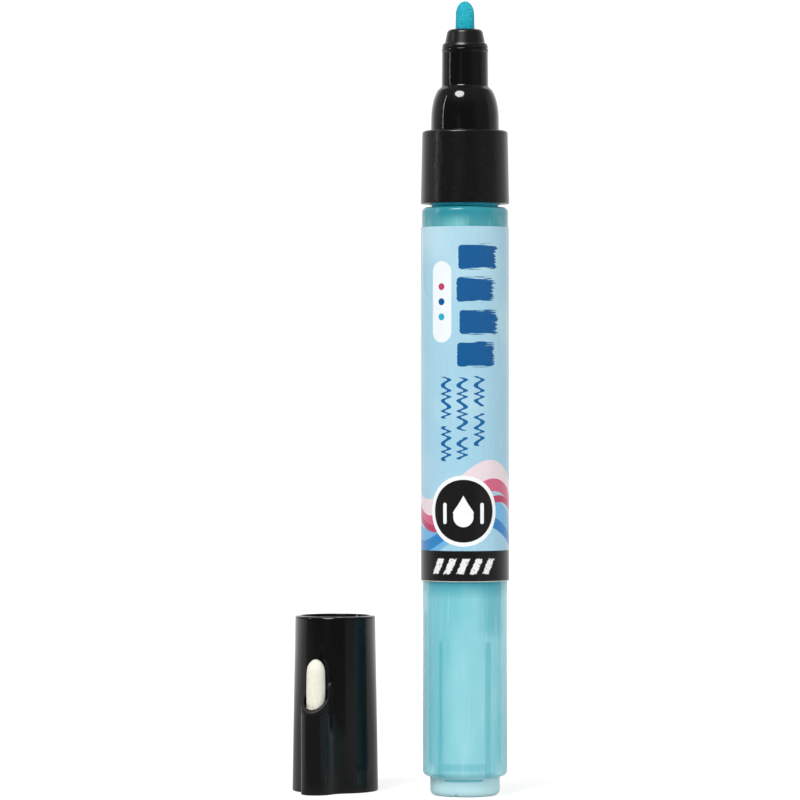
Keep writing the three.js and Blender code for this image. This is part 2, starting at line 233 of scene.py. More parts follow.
STROKE_SLANT = 0.45
STROKE_STEP = 2.3
STROKE_HALF = 0.62
STROKE_ROW = (-18.4, 39.9)  # the first of these is slanted back to height 0
STROKE_ROW_HALF = (5.2, 1.0)
STROKE_ROW_ROUND = 0.3
CUT_EDGE = 0.13

# Paint and painted shade seen through the wall, and a stain on the spare nib
# Colour of painted shade at the sleeve's edges and in a band on the right, and of a line at the spigot
PAINTED_SHADE = "#52bccc"
HAIR_SHADE = "#d4f6f8"
# Mm from the wall's middle over which it is painted darker: painted shade towards the sides
MIDDLE_REACH = (2.0, 6.5)
THICK_HEIGHTS = (17.0, 32.0)
SLEEVE_EDGE_SHADE_HALF = (0.05, 0.3)  # its left edge's and its right one's
SPIGOT_LINE = (-0.3, TAIL_Z + 1.9)
SPIGOT_LINE_HALF = (3.7, 0.4)
# A broad band of painted shade high on the barrel's right
PAINTED_SHADE_BAND = (4.4, 34.0)
PAINTED_SHADE_BAND_HALF = (0.2, 4.5)
LINE_ROUND = 0.05
FLOOR_LINE = (-0.3, CUP_FLOOR + 0.1)
FLOOR_LINE_HALF = (3.2, 0.08)
FLOOR_LINE_ROUND = 0.1
# Beyond this x the sleeve's sides are painted darker: painted shade for its edges
SHADED_SIDES_X = 3.75
STAIN_Z = 14.6

# Lamps: watts, and places, aims and sizes in metres
KEY_WATTS = 17.5
KEY_PLACE = (-0.443, -0.87, 1.155)
KEY_AIM = (0, 0, 0.07)
KEY_SIZE = (0.76, 0.5)
STRIP_WATTS = 0.27
STRIP_PLACE = (-0.594, -0.083, 0.32)
STRIP_AIM = (0, 0, 0.32)
STRIP_SIZE = (0.014, 0.44)

# Air, paper and room: strengths as shares of white, directions, and metres
AIR_LEVEL = 0.08
CEILING_LIGHT = 0.25
SIDE_FILL = 0.85
KEY_WAY = (-0.375, -0.927, 0.0)
FILL_WAY = (0.82, -0.57, 0.0)
LIT_FLOOR_WAY = (0.88, 0.48, 0.0)
ROOM_REACH = 3
ROOM_HEIGHT = 4
SHADOW_NEAR = 0.15
SHADOW_FAR = 0.5
PLAIN_PAPER = 0.75
DARK_ROOM = 0.01

# Camera: mm of lens and film, and metres
LENS = 194.5
FILM_WIDTH = 36.0
CAMERA_PLACE = (-0.01128, -0.750, 0.0685)


def linear(code):
    """An sRGB hex colour as linear RGBA."""
    srgb = np.array([int(code[i : i + 2], 16) / 255 for i in (1, 3, 5)])
    rgb = np.where(srgb <= 0.04045, srgb / 12.92, ((srgb + 0.055) / 1.055) ** 2.4)
    return (*rgb.tolist(), 1.0)


def rounded(corners, closed=True):
    """An outline in the r, z plane through (r, z, fillet) corners.

    Each corner is replaced by an arc of its fillet radius tangent to both sides, limited to
    under half of the shorter side, and straight runs get a point near each end.
    """
    points = np.array(corners, float)
    count = len(points)
    parts = []
    for i in range(count):
        corner, fillet = points[i, :2], points[i, 2]
        if fillet == 0 or (not closed and i in (0, count - 1)):
            parts.append(corner[None])
            continue
        before = points[i - 1, :2] - corner
        after = points[(i + 1) % count, :2] - corner
        sides = np.array([np.hypot(*before), np.hypot(*after)])
        before, after = before / sides[0], after / sides[1]
        half = math.acos(np.clip(before @ after, -1, 1)) / 2
        reach = min(fillet / math.tan(half), CORNER_SHARE * sides.min())
        radius = reach * math.tan(half)
        inward = (before + after) / np.hypot(*(before + after))
        centre = corner + inward * radius / math.sin(half)
        first, last = (
            math.atan2(*(corner + way * reach - centre)[::-1]) for way in (before, after)
        )
        turn = (last - first + math.pi) % (2 * math.pi) - math.pi
        angles = first + turn * np.linspace(0, 1, ARC_STEPS)
        parts.append(centre + radius * np.stack([np.cos(angles), np.sin(angles)], 1))
    outline = np.concatenate(parts)
    return guarded(outline, closed)


def guarded(outline, closed):
    """The outline with a point GUARD from each end of every long straight run."""
    following = np.roll(outline, -1, 0)
    runs = following - outline
    lengths = np.hypot(*runs.T)
    if not closed:
        lengths[-1] = 0
    long = lengths > 4 * GUARD
    unit = runs / np.maximum(lengths, 1e-9)[:, None]
    near = np.where(long[:, None], outline + unit * GUARD, np.nan)
    far = np.where(long[:, None], following - unit * GUARD, np.nan)
    mixed = np.stack([outline, near, far], 1).reshape(-1, 2)
    return mixed[~np.isnan(mixed[:, 0])]


def placed(name, data):
    """An object in the scene that holds a mesh, a light or a camera."""
    made = bpy.data.objects.new(name, data)
    bpy.context.scene.collection.objects.link(made)
    return made


def plain_object(name, vertices, faces):
    """An object in the scene from vertices in mm and faces."""
    mesh = bpy.data.meshes.new(name)
    mesh.from_pydata((np.asarray(vertices) * MM).tolist(), [], faces)
    return placed(name, mesh)


def make_piece(name, vertices, faces, body, materials, slot, replaced):
    """A smooth-shaded piece from vertices in mm and faces, riding on a body in place of a node."""
    return dressed(plain_object(name, vertices, faces), body, materials, replaced)


def dressed(made, body, materials, replaced):
    """Smooths a piece except at sharp edges, gives it its materials and body, and hides the node it
    replaces.
    """
    mesh = made.data
    mesh.polygons.foreach_set("use_smooth", np.ones(len(mesh.polygons), bool))
    mesh.set_sharp_from_angle(angle=math.radians(SHARP_DEGREES))
    mesh.materials.clear()
    for material in materials:
        mesh.materials.append(material)
    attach(made, body)
    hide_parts(replaced)
    return made


def zoned(made, *zones):
    """Gives the faces in each zone the next material; a zone tests radius, height and x in mm."""
    mesh = made.data
    centres = np.empty(3 * len(mesh.polygons))
    mesh.polygons.foreach_get("center", centres)
    x, y, z = centres.reshape(-1, 3).T / MM
    index = np.zeros(len(mesh.polygons), np.int32)
    for place, zone in enumerate(zones, 1):
        index[zone(np.hypot(x, y), z, x)] = place
    mesh.polygons.foreach_set("material_index", index)
    return made


def grid_faces(rows, columns, wrap_rows):
    """Quads of a grid whose columns close on themselves, and whose rows do if wrap_rows."""
    row, column = np.meshgrid(
        np.arange(rows if wrap_rows else rows - 1), np.arange(columns), indexing="ij"
    )
    next_row, next_column = (row + 1) % rows, (column + 1) % columns
    corners = [
        row * columns + column,
        row * columns + next_column,
        next_row * columns + next_column,
        next_row * columns + column,
    ]
    return np.stack(corners, -1).reshape(-1, 4).tolist()


def revolved(outline, sides=SIDES, centre=(0.0, 0.0)):
    """Vertices and faces of an outline turned about the vertical through centre.

    A point at radius r and height z goes round as (r cos a, r sin a, z). An outline that
    starts and ends on the axis is closed by a fan at each pole; any other closes on itself.
    """
    outline = np.asarray(outline, float)
    poles = outline[0, 0] < 1e-6 and outline[-1, 0] < 1e-6
    rings = outline[1:-1] if poles else outline
    angle = np.arange(sides) * 2 * math.pi / sides
    x = rings[:, :1] * np.cos(angle) + centre[0]
    y = rings[:, :1] * np.sin(angle) + centre[1]
    z = np.repeat(rings[:, 1:], sides, 1)
    vertices = np.stack([x, y, z], -1).reshape(-1, 3)
    faces = grid_faces(len(rings), sides, not poles)
    if poles:
        count = len(vertices)
        ends = [[*centre, outline[0, 1]], [*centre, outline[-1, 1]]]
        vertices = np.concatenate([vertices, ends])
        around = np.arange(sides)
        onward = (around + 1) % sides
        low = np.stack([np.full(sides, count), onward, around], 1)
        last = (len(rings) - 1) * sides
        high = np.stack([np.full(sides, count + 1), last + around, last + onward], 1)
        faces += low.tolist() + high.tolist()
    return vertices, faces


def arc(centre_r, centre_z, radial, axial, first, last, steps):
    """Points of an ellipse's arc in the r, z plane, centre + (radial cos a, axial sin a).

    The angle a runs in degrees from +r towards +z.
    """
    angle = np.radians(np.linspace(first, last, steps))
    return np.stack([centre_r + radial * np.cos(angle), centre_z + axial * np.sin(angle)], 1)


def add(tree, kind, inputs=(), output=0, **settings):
    """Adds a shader node, links or sets its inputs by place or name, and returns an output.

    A Mix node takes its share at 0. Its two colours go in at 6 and 7 and come out at 2, and its
    two numbers go in at 2 and 3 and come out at 0.
    """
    made = tree.nodes.new("ShaderNode" + kind)
    for key, value in settings.items():
        setattr(made, key, value)
    for key, value in inputs.items() if isinstance(inputs, dict) else enumerate(inputs):
        if isinstance(value, bpy.types.NodeSocket):
            tree.links.new(value, made.inputs[key])
        elif value is not None:
            made.inputs[key].default_value = value
    return made.outputs[output] if made.outputs else None


def blank(name):
    """A named material with no nodes, and its tree."""
    material = bpy.data.materials.new(name)
    material.use_nodes = True
    material.node_tree.nodes.clear()
    return material, material.node_tree


def places(tree):
    """The x, y and z of a point on a piece, in mm."""
    place = add(tree, "TexCoord", output="Object")
    in_mm = add(tree, "VectorMath", {0: place, "Scale": 1 / MM}, operation="SCALE")
    return [add(tree, "SeparateXYZ", (in_mm,), axis) for axis in range(3)]


def mottle(tree, size, detail=2.0, stretch=1.0, shift=0.0):
    """A cloudy pattern from 0 to 1 whose patches are size mm wide.

    It is drawn out along the axis by stretch, and a shift tells the patterns of a material apart.
    """
    place = add(tree, "TexCoord", output="Object")
    scale = (1 / (size * MM), 1 / (size * MM), 1 / (size * MM * stretch))
    moved = add(tree, "Mapping", {"Vector": place, "Scale": scale, "Location": (shift, 0, 0)})
    return add(tree, "TexNoise", {"Vector": moved, "Scale": 1.0, "Detail": detail})


def finish(tree, **inputs):
    """Puts a Principled surface with the given inputs, named by their sockets, on the material."""
    named = {key.replace("_", " "): value for key, value in inputs.items()}
    shader = add(tree, "BsdfPrincipled", named)
    add(tree, "OutputMaterial", (shader,))


def satin_patch(tree, shine, centre, first, last, bottom, top, least, most):
    """The roughness shine, raised where the tool couldn't be polished and the plastic is satin.

    The rise fades between the distances first and last from the vertical through centre, runs
    from least to most between the heights bottom and top, and is gone above the nib's tube.
    """
    place = add(tree, "TexCoord", output="Object")
    flat = add(tree, "VectorMath", (place, (1, 1, 0)), operation="MULTIPLY")
    height = add(tree, "SeparateXYZ", (place,), 2)
    low = add(tree, "MapRange", (height, SATIN_FADE_Z * MM, SATIN_END_Z * MM, 1.0, 0.0))
    spot = (centre[0] * MM, centre[1] * MM, 0)
    off = add(tree, "VectorMath", (flat, spot), 1, operation="DISTANCE")
    fade = (off, first * MM, last * MM, 1.0, 0.0)
    near = add(tree, "MapRange", fade, interpolation_type="SMOOTHSTEP")
    rise = add(tree, "MapRange", (height, bottom * MM, top * MM, least, most))
    near = add(tree, "Math", (near, rise), operation="MULTIPLY")
    return add(tree, "Math", (near, low, shine), operation="MULTIPLY_ADD", use_clamp=True)


def black_gloss(name, patches=()):
    """Gloss black polypropylene, moulded in a polished tool: it has sink waves and rubbed spots."""
    material, tree = blank(name)
    waves = mottle(tree, 2.2, detail=1.5, stretch=3.0)
    scuffs = mottle(tree, 0.25, detail=3.0, stretch=8.0, shift=5.0)
    shine = add(tree, "MapRange", (scuffs, 0.45, 0.75, 0.07, 0.15))
    for patch in patches:
        shine = satin_patch(tree, shine, *patch)
    blacks = {0: waves, 6: linear("#060606"), 7: linear("#0b0b0b")}
    finish(
        tree,
        Base_Color=add(tree, "Mix", blacks, 2, data_type="RGBA"),
        Roughness=shine,
        IOR=1.49,
        Normal=add(tree, "Bump", {"Strength": 0.12, "Distance": 0.02 * MM, "Height": waves}),
    )
    return material


def black_satin(name, roughness):
    """Black polypropylene from a finely eroded tool, so that its shine is broad, with scratches."""
    material, tree = blank(name)
    grain = mottle(tree, 0.12)
    rub = mottle(tree, 1.5, detail=3.0, stretch=4.0, shift=2.0)
    body = add(tree, "Mix", {0: rub, 6: linear("#0a0a0a"), 7: linear("#101010")}, 2, data_type="RGBA")
    scratches = mottle(tree, 1.6, detail=1.0, stretch=0.05, shift=6.0)
    scratches = add(tree, "MapRange", (scratches, 0.73, 0.79, 0.0, 0.5))
    shades = {0: scratches, 6: body, 7: linear("#4a4845")}
    finish(
        tree,
        Base_Color=add(tree, "Mix", shades, 2, data_type="RGBA"),
        Roughness=add(tree, "MapRange", (rub, 0.4, 0.7, roughness, roughness + 0.05)),
        IOR=1.49,
        Normal=add(tree, "Bump", {"Strength": 0.1, "Distance": 0.01 * MM, "Height": grain}),
    )
    return material


def wall_material(name, thin, thick, paint_and_shadow, middle, heights, alpha, roughness):
    """Natural polypropylene against paint: milky and partly see-through.

    It runs from a thin to a thick shade in clouds, higher up, and away from the x of middle: painted
    shade towards the sides, set off the axis so that one side is painted lighter. Between the two
    heights it turns to the paint_and_shadow shade: a painted shadow under the label, and on the
    shoulder paint with painted shade under the collar. Pale hairs are drawing marks of the tool.
    Soft lines of painted shade stand for the sleeve's edges seen through, a darker line runs along
    the spigot, and a broad band of painted shade lies high on the right.
    """
    material, tree = blank(name)
    x, _, height = places(tree)
    aside = add(tree, "Math", (x, middle), operation="SUBTRACT")
    aside = add(tree, "Math", (aside,), operation="ABSOLUTE")
    # Painted shade: darker away from the x of middle, set off the axis so that one side is lighter
    clear = add(tree, "MapRange", (aside, *MIDDLE_REACH, 0.0, 0.9))
    # Between the heights: under the label a painted shadow, on the shoulder paint with painted shade
    # under the collar
    paint_and_shadow_share = add(tree, "MapRange", (height, *heights, 0.0, 1.0))
    cloud = mottle(tree, 7.0, detail=3.0, stretch=2.8)
    cloud = add(tree, "MapRange", (cloud, 0.3, 0.7, -0.2, 0.55))
    high = add(tree, "MapRange", (height, *THICK_HEIGHTS, 0.0, 0.45))
    depth = add(tree, "Math", (clear, cloud))
    depth = add(tree, "Math", (depth, high), use_clamp=True)
    body = add(tree, "Mix", {0: depth, 6: linear(thin), 7: linear(thick)}, 2, data_type="RGBA")
    plane = add(tree, "CombineXYZ", (x, height, 0.0))
    long = (SLEEVE_TOP_Z - TAIL_Z) / 2
    left, right = SLEEVE_EDGE_SHADE_HALF
    for centre, half, fade, most in (  # painted shade at the sleeve's left and right edge, the spigot's line, a painted shade band
        ((-SLEEVE_RADIUS, TAIL_Z + long), (left, long), 0.4, 0.45),
        ((SLEEVE_RADIUS - 0.5, TAIL_Z + long), (right, long), 0.4, 0.45),
        (SPIGOT_LINE, SPIGOT_LINE_HALF, 0.4, 0.35),
        (PAINTED_SHADE_BAND, PAINTED_SHADE_BAND_HALF, 3.0, 0.6),
    ):
        edge = box_distance(tree, plane, centre, half, LINE_ROUND)
        fall = (edge, -LINE_ROUND, fade, most, 0.0)
        share = add(tree, "MapRange", fall, interpolation_type="SMOOTHSTEP")
        shades = {0: share, 6: body, 7: linear(PAINTED_SHADE)}
        body = add(tree, "Mix", shades, 2, data_type="RGBA")
    hairs = mottle(tree, 0.3, stretch=40.0, shift=9.0)
    hairs = add(tree, "MapRange", (hairs, 0.6, 0.72, 0.0, 0.3))
    body = add(tree, "Mix", {0: hairs, 6: body, 7: linear(HAIR_SHADE)}, 2, data_type="RGBA")
    streak = mottle(tree, 1.1, stretch=16.0, shift=3.0)
    finish(
        tree,
        Base_Color=add(tree, "Mix", {0: paint_and_shadow_share, 6: body, 7: linear(paint_and_shadow)}, 2, data_type="RGBA"),
        Roughness=add(tree, "MapRange", (streak, 0.3, 0.7, roughness - 0.04, roughness + 0.04)),
        IOR=1.49,
        Alpha=alpha,
        Normal=add(tree, "Bump", {"Strength": 0.03, "Distance": 0.02 * MM, "Height": streak}),
    )
    return material


def fibre(name, dark, pale, fleck, stain=None):
    """Pressed fibre nib: matt, with flecks where fibre ends catch light, drawn along the axis.

    The fibres are about 0.03 mm wide and are drawn coarser, at 0.12 mm, so that they show. A
    stain lies in spots about one height.
    """
    material, tree = blank(name)
    strands = mottle(tree, 0.2, detail=3.0, stretch=3.5)
    specks = mottle(tree, 0.12, stretch=1.6, shift=3.0)
    strand = add(tree, "MapRange", (strands, 0.35, 0.7, 0.0, 1.0))
    speck = add(tree, "MapRange", (specks, 0.56, 0.72, 0.0, 0.75))
    base = add(tree, "Mix", {0: strand, 6: linear(dark), 7: linear(pale)}, 2, data_type="RGBA")
    if stain:
        place = add(tree, "TexCoord", output="Object")
        height = add(tree, "SeparateXYZ", (place,), 2)
        off = add(tree, "Math", (height, STAIN_Z * MM), operation="SUBTRACT")
        off = add(tree, "Math", (off,), operation="ABSOLUTE")
        low = add(tree, "MapRange", (off, 0.2 * MM, 1.8 * MM, 0.5, 0.0))
        spots = mottle(tree, 0.5, detail=4.0, stretch=1.5, shift=7.0)
        spots = add(tree, "MapRange", (spots, 0.5, 0.66, 0.0, 1.0))
        share = add(tree, "Math", (low, spots), operation="MULTIPLY")
        base = add(tree, "Mix", {0: share, 6: base, 7: linear(stain)}, 2, data_type="RGBA")
    finish(
        tree,
        Base_Color=add(tree, "Mix", {0: speck, 6: base, 7: linear(fleck)}, 2, data_type="RGBA"),
        Roughness=0.75,
        Specular_IOR_Level=0.2,
        Normal=add(tree, "Bump", {"Strength": 0.6, "Distance": 0.05 * MM, "Height": specks}),
    )
    return material


def moulded(name, first, second, roughness, metal=0.0, size=1.2, alpha=1.0):
    """Plastic, rubber or steel inside the marker, faintly uneven in colour and shine."""
    material, tree = blank(name)
    cloud = mottle(tree, size, detail=3.0)
    shades = {0: cloud, 6: linear(first), 7: linear(second)}
    finish(
        tree,
        Base_Color=add(tree, "Mix", shades, 2, data_type="RGBA"),
        Roughness=add(tree, "MapRange", (cloud, 0.3, 0.7, roughness - 0.05, roughness + 0.05)),
        Metallic=metal,
        Alpha=alpha,
    )
    return material


def foot_material():
    """Natural polypropylene, thick enough to be milky in the foot: the cup's floor shows as a line."""
    material, tree = blank("natural_polypropylene_foot")
    x, _, height = places(tree)
    plane = add(tree, "CombineXYZ", (x, height, 0.0))
    cloud = mottle(tree, 3.0, detail=3.0)
    shades = {0: cloud, 6: linear("#b5dde4"), 7: linear("#bce2e9")}
    milky = add(tree, "Mix", shades, 2, data_type="RGBA")
    floor = box_distance(tree, plane, FLOOR_LINE, FLOOR_LINE_HALF, FLOOR_LINE_ROUND)
    finish(
        tree,
        Base_Color=printed(tree, milky, floor, "#6cc2d0"),
        Roughness=add(tree, "MapRange", (cloud, 0.3, 0.7, 0.33, 0.43)),
        Subsurface_Weight=0.6,
        Subsurface_Radius=(1.0, 1.0, 1.0),
        Subsurface_Scale=3 * MM,
    )
    return material


def box_distance(tree, plane, centre, half, radius):
    """Distance outside a box with rounded corners: length of max(|p - c| - half, 0), less radius."""
    moved = add(tree, "VectorMath", (plane, (*centre, 0)), operation="SUBTRACT")
    folded = add(tree, "VectorMath", (moved,), operation="ABSOLUTE")
    past = add(tree, "VectorMath", (folded, (*half, 0)), operation="SUBTRACT")
    outside = add(tree, "VectorMath", (past, (0, 0, 0)), operation="MAXIMUM")
    length = add(tree, "VectorMath", (outside,), 1, operation="LENGTH")
    return add(tree, "Math", (length, radius), operation="SUBTRACT")


def triangle_distance(tree, plane, centre, inradius):
    """Signed distance to a triangle on a level side: the largest of those past its three sides."""
    moved = add(tree, "VectorMath", (plane, (*centre, 0)), operation="SUBTRACT")
    largest = -100.0
    for degrees in (-90, 30, 150):
        way = (math.cos(math.radians(degrees)), math.sin(math.radians(degrees)), 0)
        past = add(tree, "VectorMath", (moved, way), 1, operation="DOT_PRODUCT")
        largest = add(tree, "Math", (past, largest), operation="MAXIMUM")
    return add(tree, "Math", (largest, inradius), operation="SUBTRACT")


def band_distance(tree, around, height, level, swing, phase, half):
    """Signed height off a band about level + swing sin(2 a + phase), a being the angle round."""
    angle = add(tree, "Math", (around, 2 / LABEL_RADIUS, phase), operation="MULTIPLY_ADD")
    wave = add(tree, "Math", (angle,), operation="SINE")
    middle = add(tree, "Math", (wave, swing, level), operation="MULTIPLY_ADD")
    off = add(tree, "Math", (height, middle), operation="SUBTRACT")
    off = add(tree, "Math", (off,), operation="ABSOLUTE")
    return add(tree, "Math", (off, half), operation="SUBTRACT")


def printed(tree, ground, distance, shade):
    """The ground with ink of a shade where distance is below 0, its edge PRINT_EDGE mm wide."""
    edge = (distance, -1 / PRINT_EDGE, 0.5)
    inside = add(tree, "Math", edge, operation="MULTIPLY_ADD", use_clamp=True)
    return add(tree, "Mix", {0: inside, 6: ground, 7: linear(shade)}, 2, data_type="RGBA")


def unrolled(tree, x, y, height):
    """The label laid flat: mm round the barrel, R atan2(x, y), and a plane of that and height."""
    angle = add(tree, "Math", (x, y), operation="ARCTAN2")
    around = add(tree, "Math", (angle, LABEL_RADIUS), operation="MULTIPLY")
    return around, add(tree, "CombineXYZ", (around, height, 0.0))


def ground_colour(tree, plane, height):
    """Pale blue ground, a little greyer towards the shoulder, with soft paler clouds."""
    rise = add(tree, "MapRange", (height, *GROUND_HEIGHTS, 0.0, 1.0))
    shades = {0: rise, 6: linear("#9dcadf"), 7: linear("#a3cbdb")}
    colour = add(tree, "Mix", shades, 2, data_type="RGBA")
    soft = add(tree, "TexNoise", {"Vector": plane, "Scale": 0.07, "Detail": 1.0})
    cloud = add(tree, "MapRange", (soft, 0.5, 0.75, 0.0, 0.4))
    return add(tree, "Mix", {0: cloud, 6: colour, 7: linear("#d0e8f0")}, 2, data_type="RGBA")


def print_waves(tree, colour, around, height):
    """Waves of blue, blush and raspberry round the foot of the label, each over the one before."""
    for level, swing, phase, half, shade in (
        (46.6, 2.6, 0.6, 2.4, "#6fb0da"),
        (45.6, 2.4, 0.9, 1.0, "#2a80bf"),
        (52.6, 3.4, 0.4, 2.2, "#e6d6db"),
        (50.7, 3.2, 0.2, 1.1, "#cf6283"),
        (48.9, 2.6, -0.1, 0.6, RASPBERRY),
    ):
        edge = band_distance(tree, around, height, level, swing, phase, half)
        colour = printed(tree, colour, edge, shade)
    return colour


def print_dabs(tree, colour, plane, around):
    """Four dabs of blue laid with a dry brush.

    A dab is a rounded box whose distance is moved by bristle noise, the more the further right.
    """
    hairs = add(tree, "Mapping", {"Vector": plane, "Scale": (0.22, 3.4, 1)})
    bristles = add(tree, "TexNoise", {"Vector": hairs, "Scale": 1.0, "Detail": 4.0})
    lift = add(tree, "Math", (bristles, 0.44), operation="SUBTRACT")
    for middle, left, right in (
        (93.1, -1.3, 5.9),
        (87.5, -1.6, 5.2),
        (81.9, -1.1, 6.1),
        (76.3, -1.5, 5.5),
    ):
        half = ((right - left) / 2 - DAB_ROUND, DAB_HALF)
        dab = box_distance(tree, plane, ((left + right) / 2, middle), half, DAB_ROUND)
        wear = add(tree, "MapRange", (around, left, right, 0.4, 3.4))
        worn = add(tree, "Math", (lift, wear, dab), operation="MULTIPLY_ADD")
        colour = printed(tree, colour, worn, DAB_BLUE)
    return colour


def print_pill(tree, colour, plane):
    """Bare white pill with three dots one above the other."""
    across, middle = PILL
    pill = box_distance(tree, plane, PILL, PILL_HALF, PILL_ROUND)
    colour = printed(tree, colour, pill, "#e7edf0")
    for step, shade in ((-DOT_STEP, "#2ba9c4"), (0.0, DAB_BLUE), (DOT_STEP, RASPBERRY)):
        dot = box_distance(tree, plane, (across, middle + step), (0, 0), DOT_RADIUS)
        colour = printed(tree, colour, dot, shade)
    return colour


def print_loops(tree, colour, plane, around, height):
    """Rows of loops from a pen that runs up along PEN_SWING sin(PEN_TURN h + sin(PEN_DRIFT h)).

    Here h is the height. A row ends where its box does.
    """
    drift = add(tree, "Math", (height, PEN_DRIFT), operation="MULTIPLY")
    drift = add(tree, "Math", (drift,), operation="SINE")
    turn = add(tree, "Math", (height, PEN_TURN, drift), operation="MULTIPLY_ADD")
    loops = add(tree, "Math", (turn,), operation="SINE")
    for middle_u, runs in (
        (-3.5, ((68.9, 3.4), (61.0, 2.8))),
        (-0.6, ((67.8, 4.4), (60.2, 1.7))),
        (2.4, ((70.0, 2.4), (63.4, 2.6))),
    ):
        line = add(tree, "Math", (loops, PEN_SWING, middle_u), operation="MULTIPLY_ADD")
        off = add(tree, "Math", (around, line), operation="SUBTRACT")
        off = add(tree, "Math", (off,), operation="ABSOLUTE")
        pen = add(tree, "Math", (off, PEN_HALF), operation="SUBTRACT")
        for middle, half in runs:
            row = box_distance(tree, plane, (middle_u, middle), (LOOPS_HALF, half), LOOPS_ROUND)
            row = add(tree, "Math", (row, pen), operation="MAXIMUM")
            colour = printed(tree, colour, row, "#055e99")
    return colour


def print_panel(tree, colour, back, height):
    """White panel on the back, ruled in blue."""
    panel = box_distance(tree, back, PANEL, PANEL_HALF, PANEL_ROUND)
    colour = printed(tree, colour, panel, "#e6eef1")
    step = add(tree, "Math", (height, RULE_STEP / 2), operation="PINGPONG")
    rule = add(tree, "Math", (step, RULE_HALF), operation="SUBTRACT")
    ruled = box_distance(tree, back, RULED, RULED_HALF, RULED_ROUND)
    rule = add(tree, "Math", (rule, ruled), operation="MAXIMUM")
    return printed(tree, colour, rule, "#5b9ccb")


def print_disc(tree, colour, plane):
    """Black disc with a white rim and a drop of paint between two ticks."""
    across, middle = DISC
    rim = box_distance(tree, plane, DISC, (0, 0), DISC_RIM_RADIUS)
    colour = printed(tree, colour, rim, DISC_WHITE)
    disc = box_distance(tree, plane, DISC, (0, 0), DISC_RADIUS)
    colour = printed(tree, colour, disc, "#161415")
    bulb = box_distance(tree, plane, (across, middle - BULB_FALL), (0, 0), BULB_RADIUS)
    point = triangle_distance(tree, plane, (across, middle + POINT_RISE), POINT_INRADIUS)
    drop = add(tree, "Math", (bulb, point, DROP_BLEND), operation="SMOOTH_MIN")
    colour = printed(tree, colour, drop, DISC_WHITE)
    for side in (-TICK_OFF, TICK_OFF):
        place = (across + side, middle - TICK_FALL)
        tick = box_distance(tree, plane, place, TICK_HALF, TICK_ROUND)
        colour = printed(tree, colour, tick, DISC_WHITE)
    return colour


def print_band(tree, colour, plane, around, height):
    """Black band at the foot with a row of slanted chalk strokes, and the film's bare cut edge."""
    band = add(tree, "Math", (height, BAND_TOP_Z), operation="SUBTRACT")
    colour = printed(tree, colour, band, "#151314")
    fleck = add(tree, "TexNoise", {"Vector": plane, "Scale": 2.4, "Detail": 5.0, "Roughness": 0.7})
    chips = add(tree, "MapRange", (fleck, 0.6, 0.7, 0.0, 1.4))
    ragged = add(tree, "Math", (fleck, 1.0, -0.5), operation="MULTIPLY_ADD")
    ragged = add(tree, "Math", (ragged, chips), operation="ADD")
    slant = add(tree, "Math", (height, -STROKE_SLANT, around), operation="MULTIPLY_ADD")
    stroke = add(tree, "Math", (slant, STROKE_STEP / 2), operation="PINGPONG")
    stroke = add(tree, "Math", (stroke, STROKE_HALF), operation="SUBTRACT")
    leaning = add(tree, "CombineXYZ", (slant, height, 0.0))
    row = box_distance(tree, leaning, STROKE_ROW, STROKE_ROW_HALF, STROKE_ROW_ROUND)
    stroke = add(tree, "Math", (stroke, row), operation="MAXIMUM")
    rough = add(tree, "Math", (stroke, ragged), operation="ADD")
    colour = printed(tree, colour, rough, "#e9e9e7")
    cut_edge = add(tree, "Math", (height, LABEL_Z + CUT_EDGE), operation="SUBTRACT")
    return printed(tree, colour, cut_edge, "#c9d6d2")


def label_material():
    """Printed polyester film, smooth and glossy, its ground and figures laid one over the other."""
    material, tree = blank("printed_label_film")
    x, y, height = places(tree)
    front = add(tree, "Math", (y, -1.0), operation="MULTIPLY")
    around, plane = unrolled(tree, x, front, height)
    _, back = unrolled(tree, x, y, height)
    colour = ground_colour(tree, plane, height)
    colour = print_waves(tree, colour, around, height)
    colour = print_dabs(tree, colour, plane, around)
    colour = print_pill(tree, colour, plane)
    colour = print_loops(tree, colour, plane, around, height)
    colour = print_panel(tree, colour, back, height)
    colour = print_disc(tree, colour, plane)
    colour = print_band(tree, colour, plane, around, height)
    film = mottle(tree, 4.0, detail=1.0, stretch=5.0)
    finish(
        tree,
        Base_Color=colour,
        Roughness=add(tree, "MapRange", (film, 0.3, 0.7, 0.24, 0.32)),
        IOR=1.5,
        Normal=add(tree, "Bump", {"Strength": 0.04, "Distance": 0.03 * MM, "Height": film}),
    )
    return material


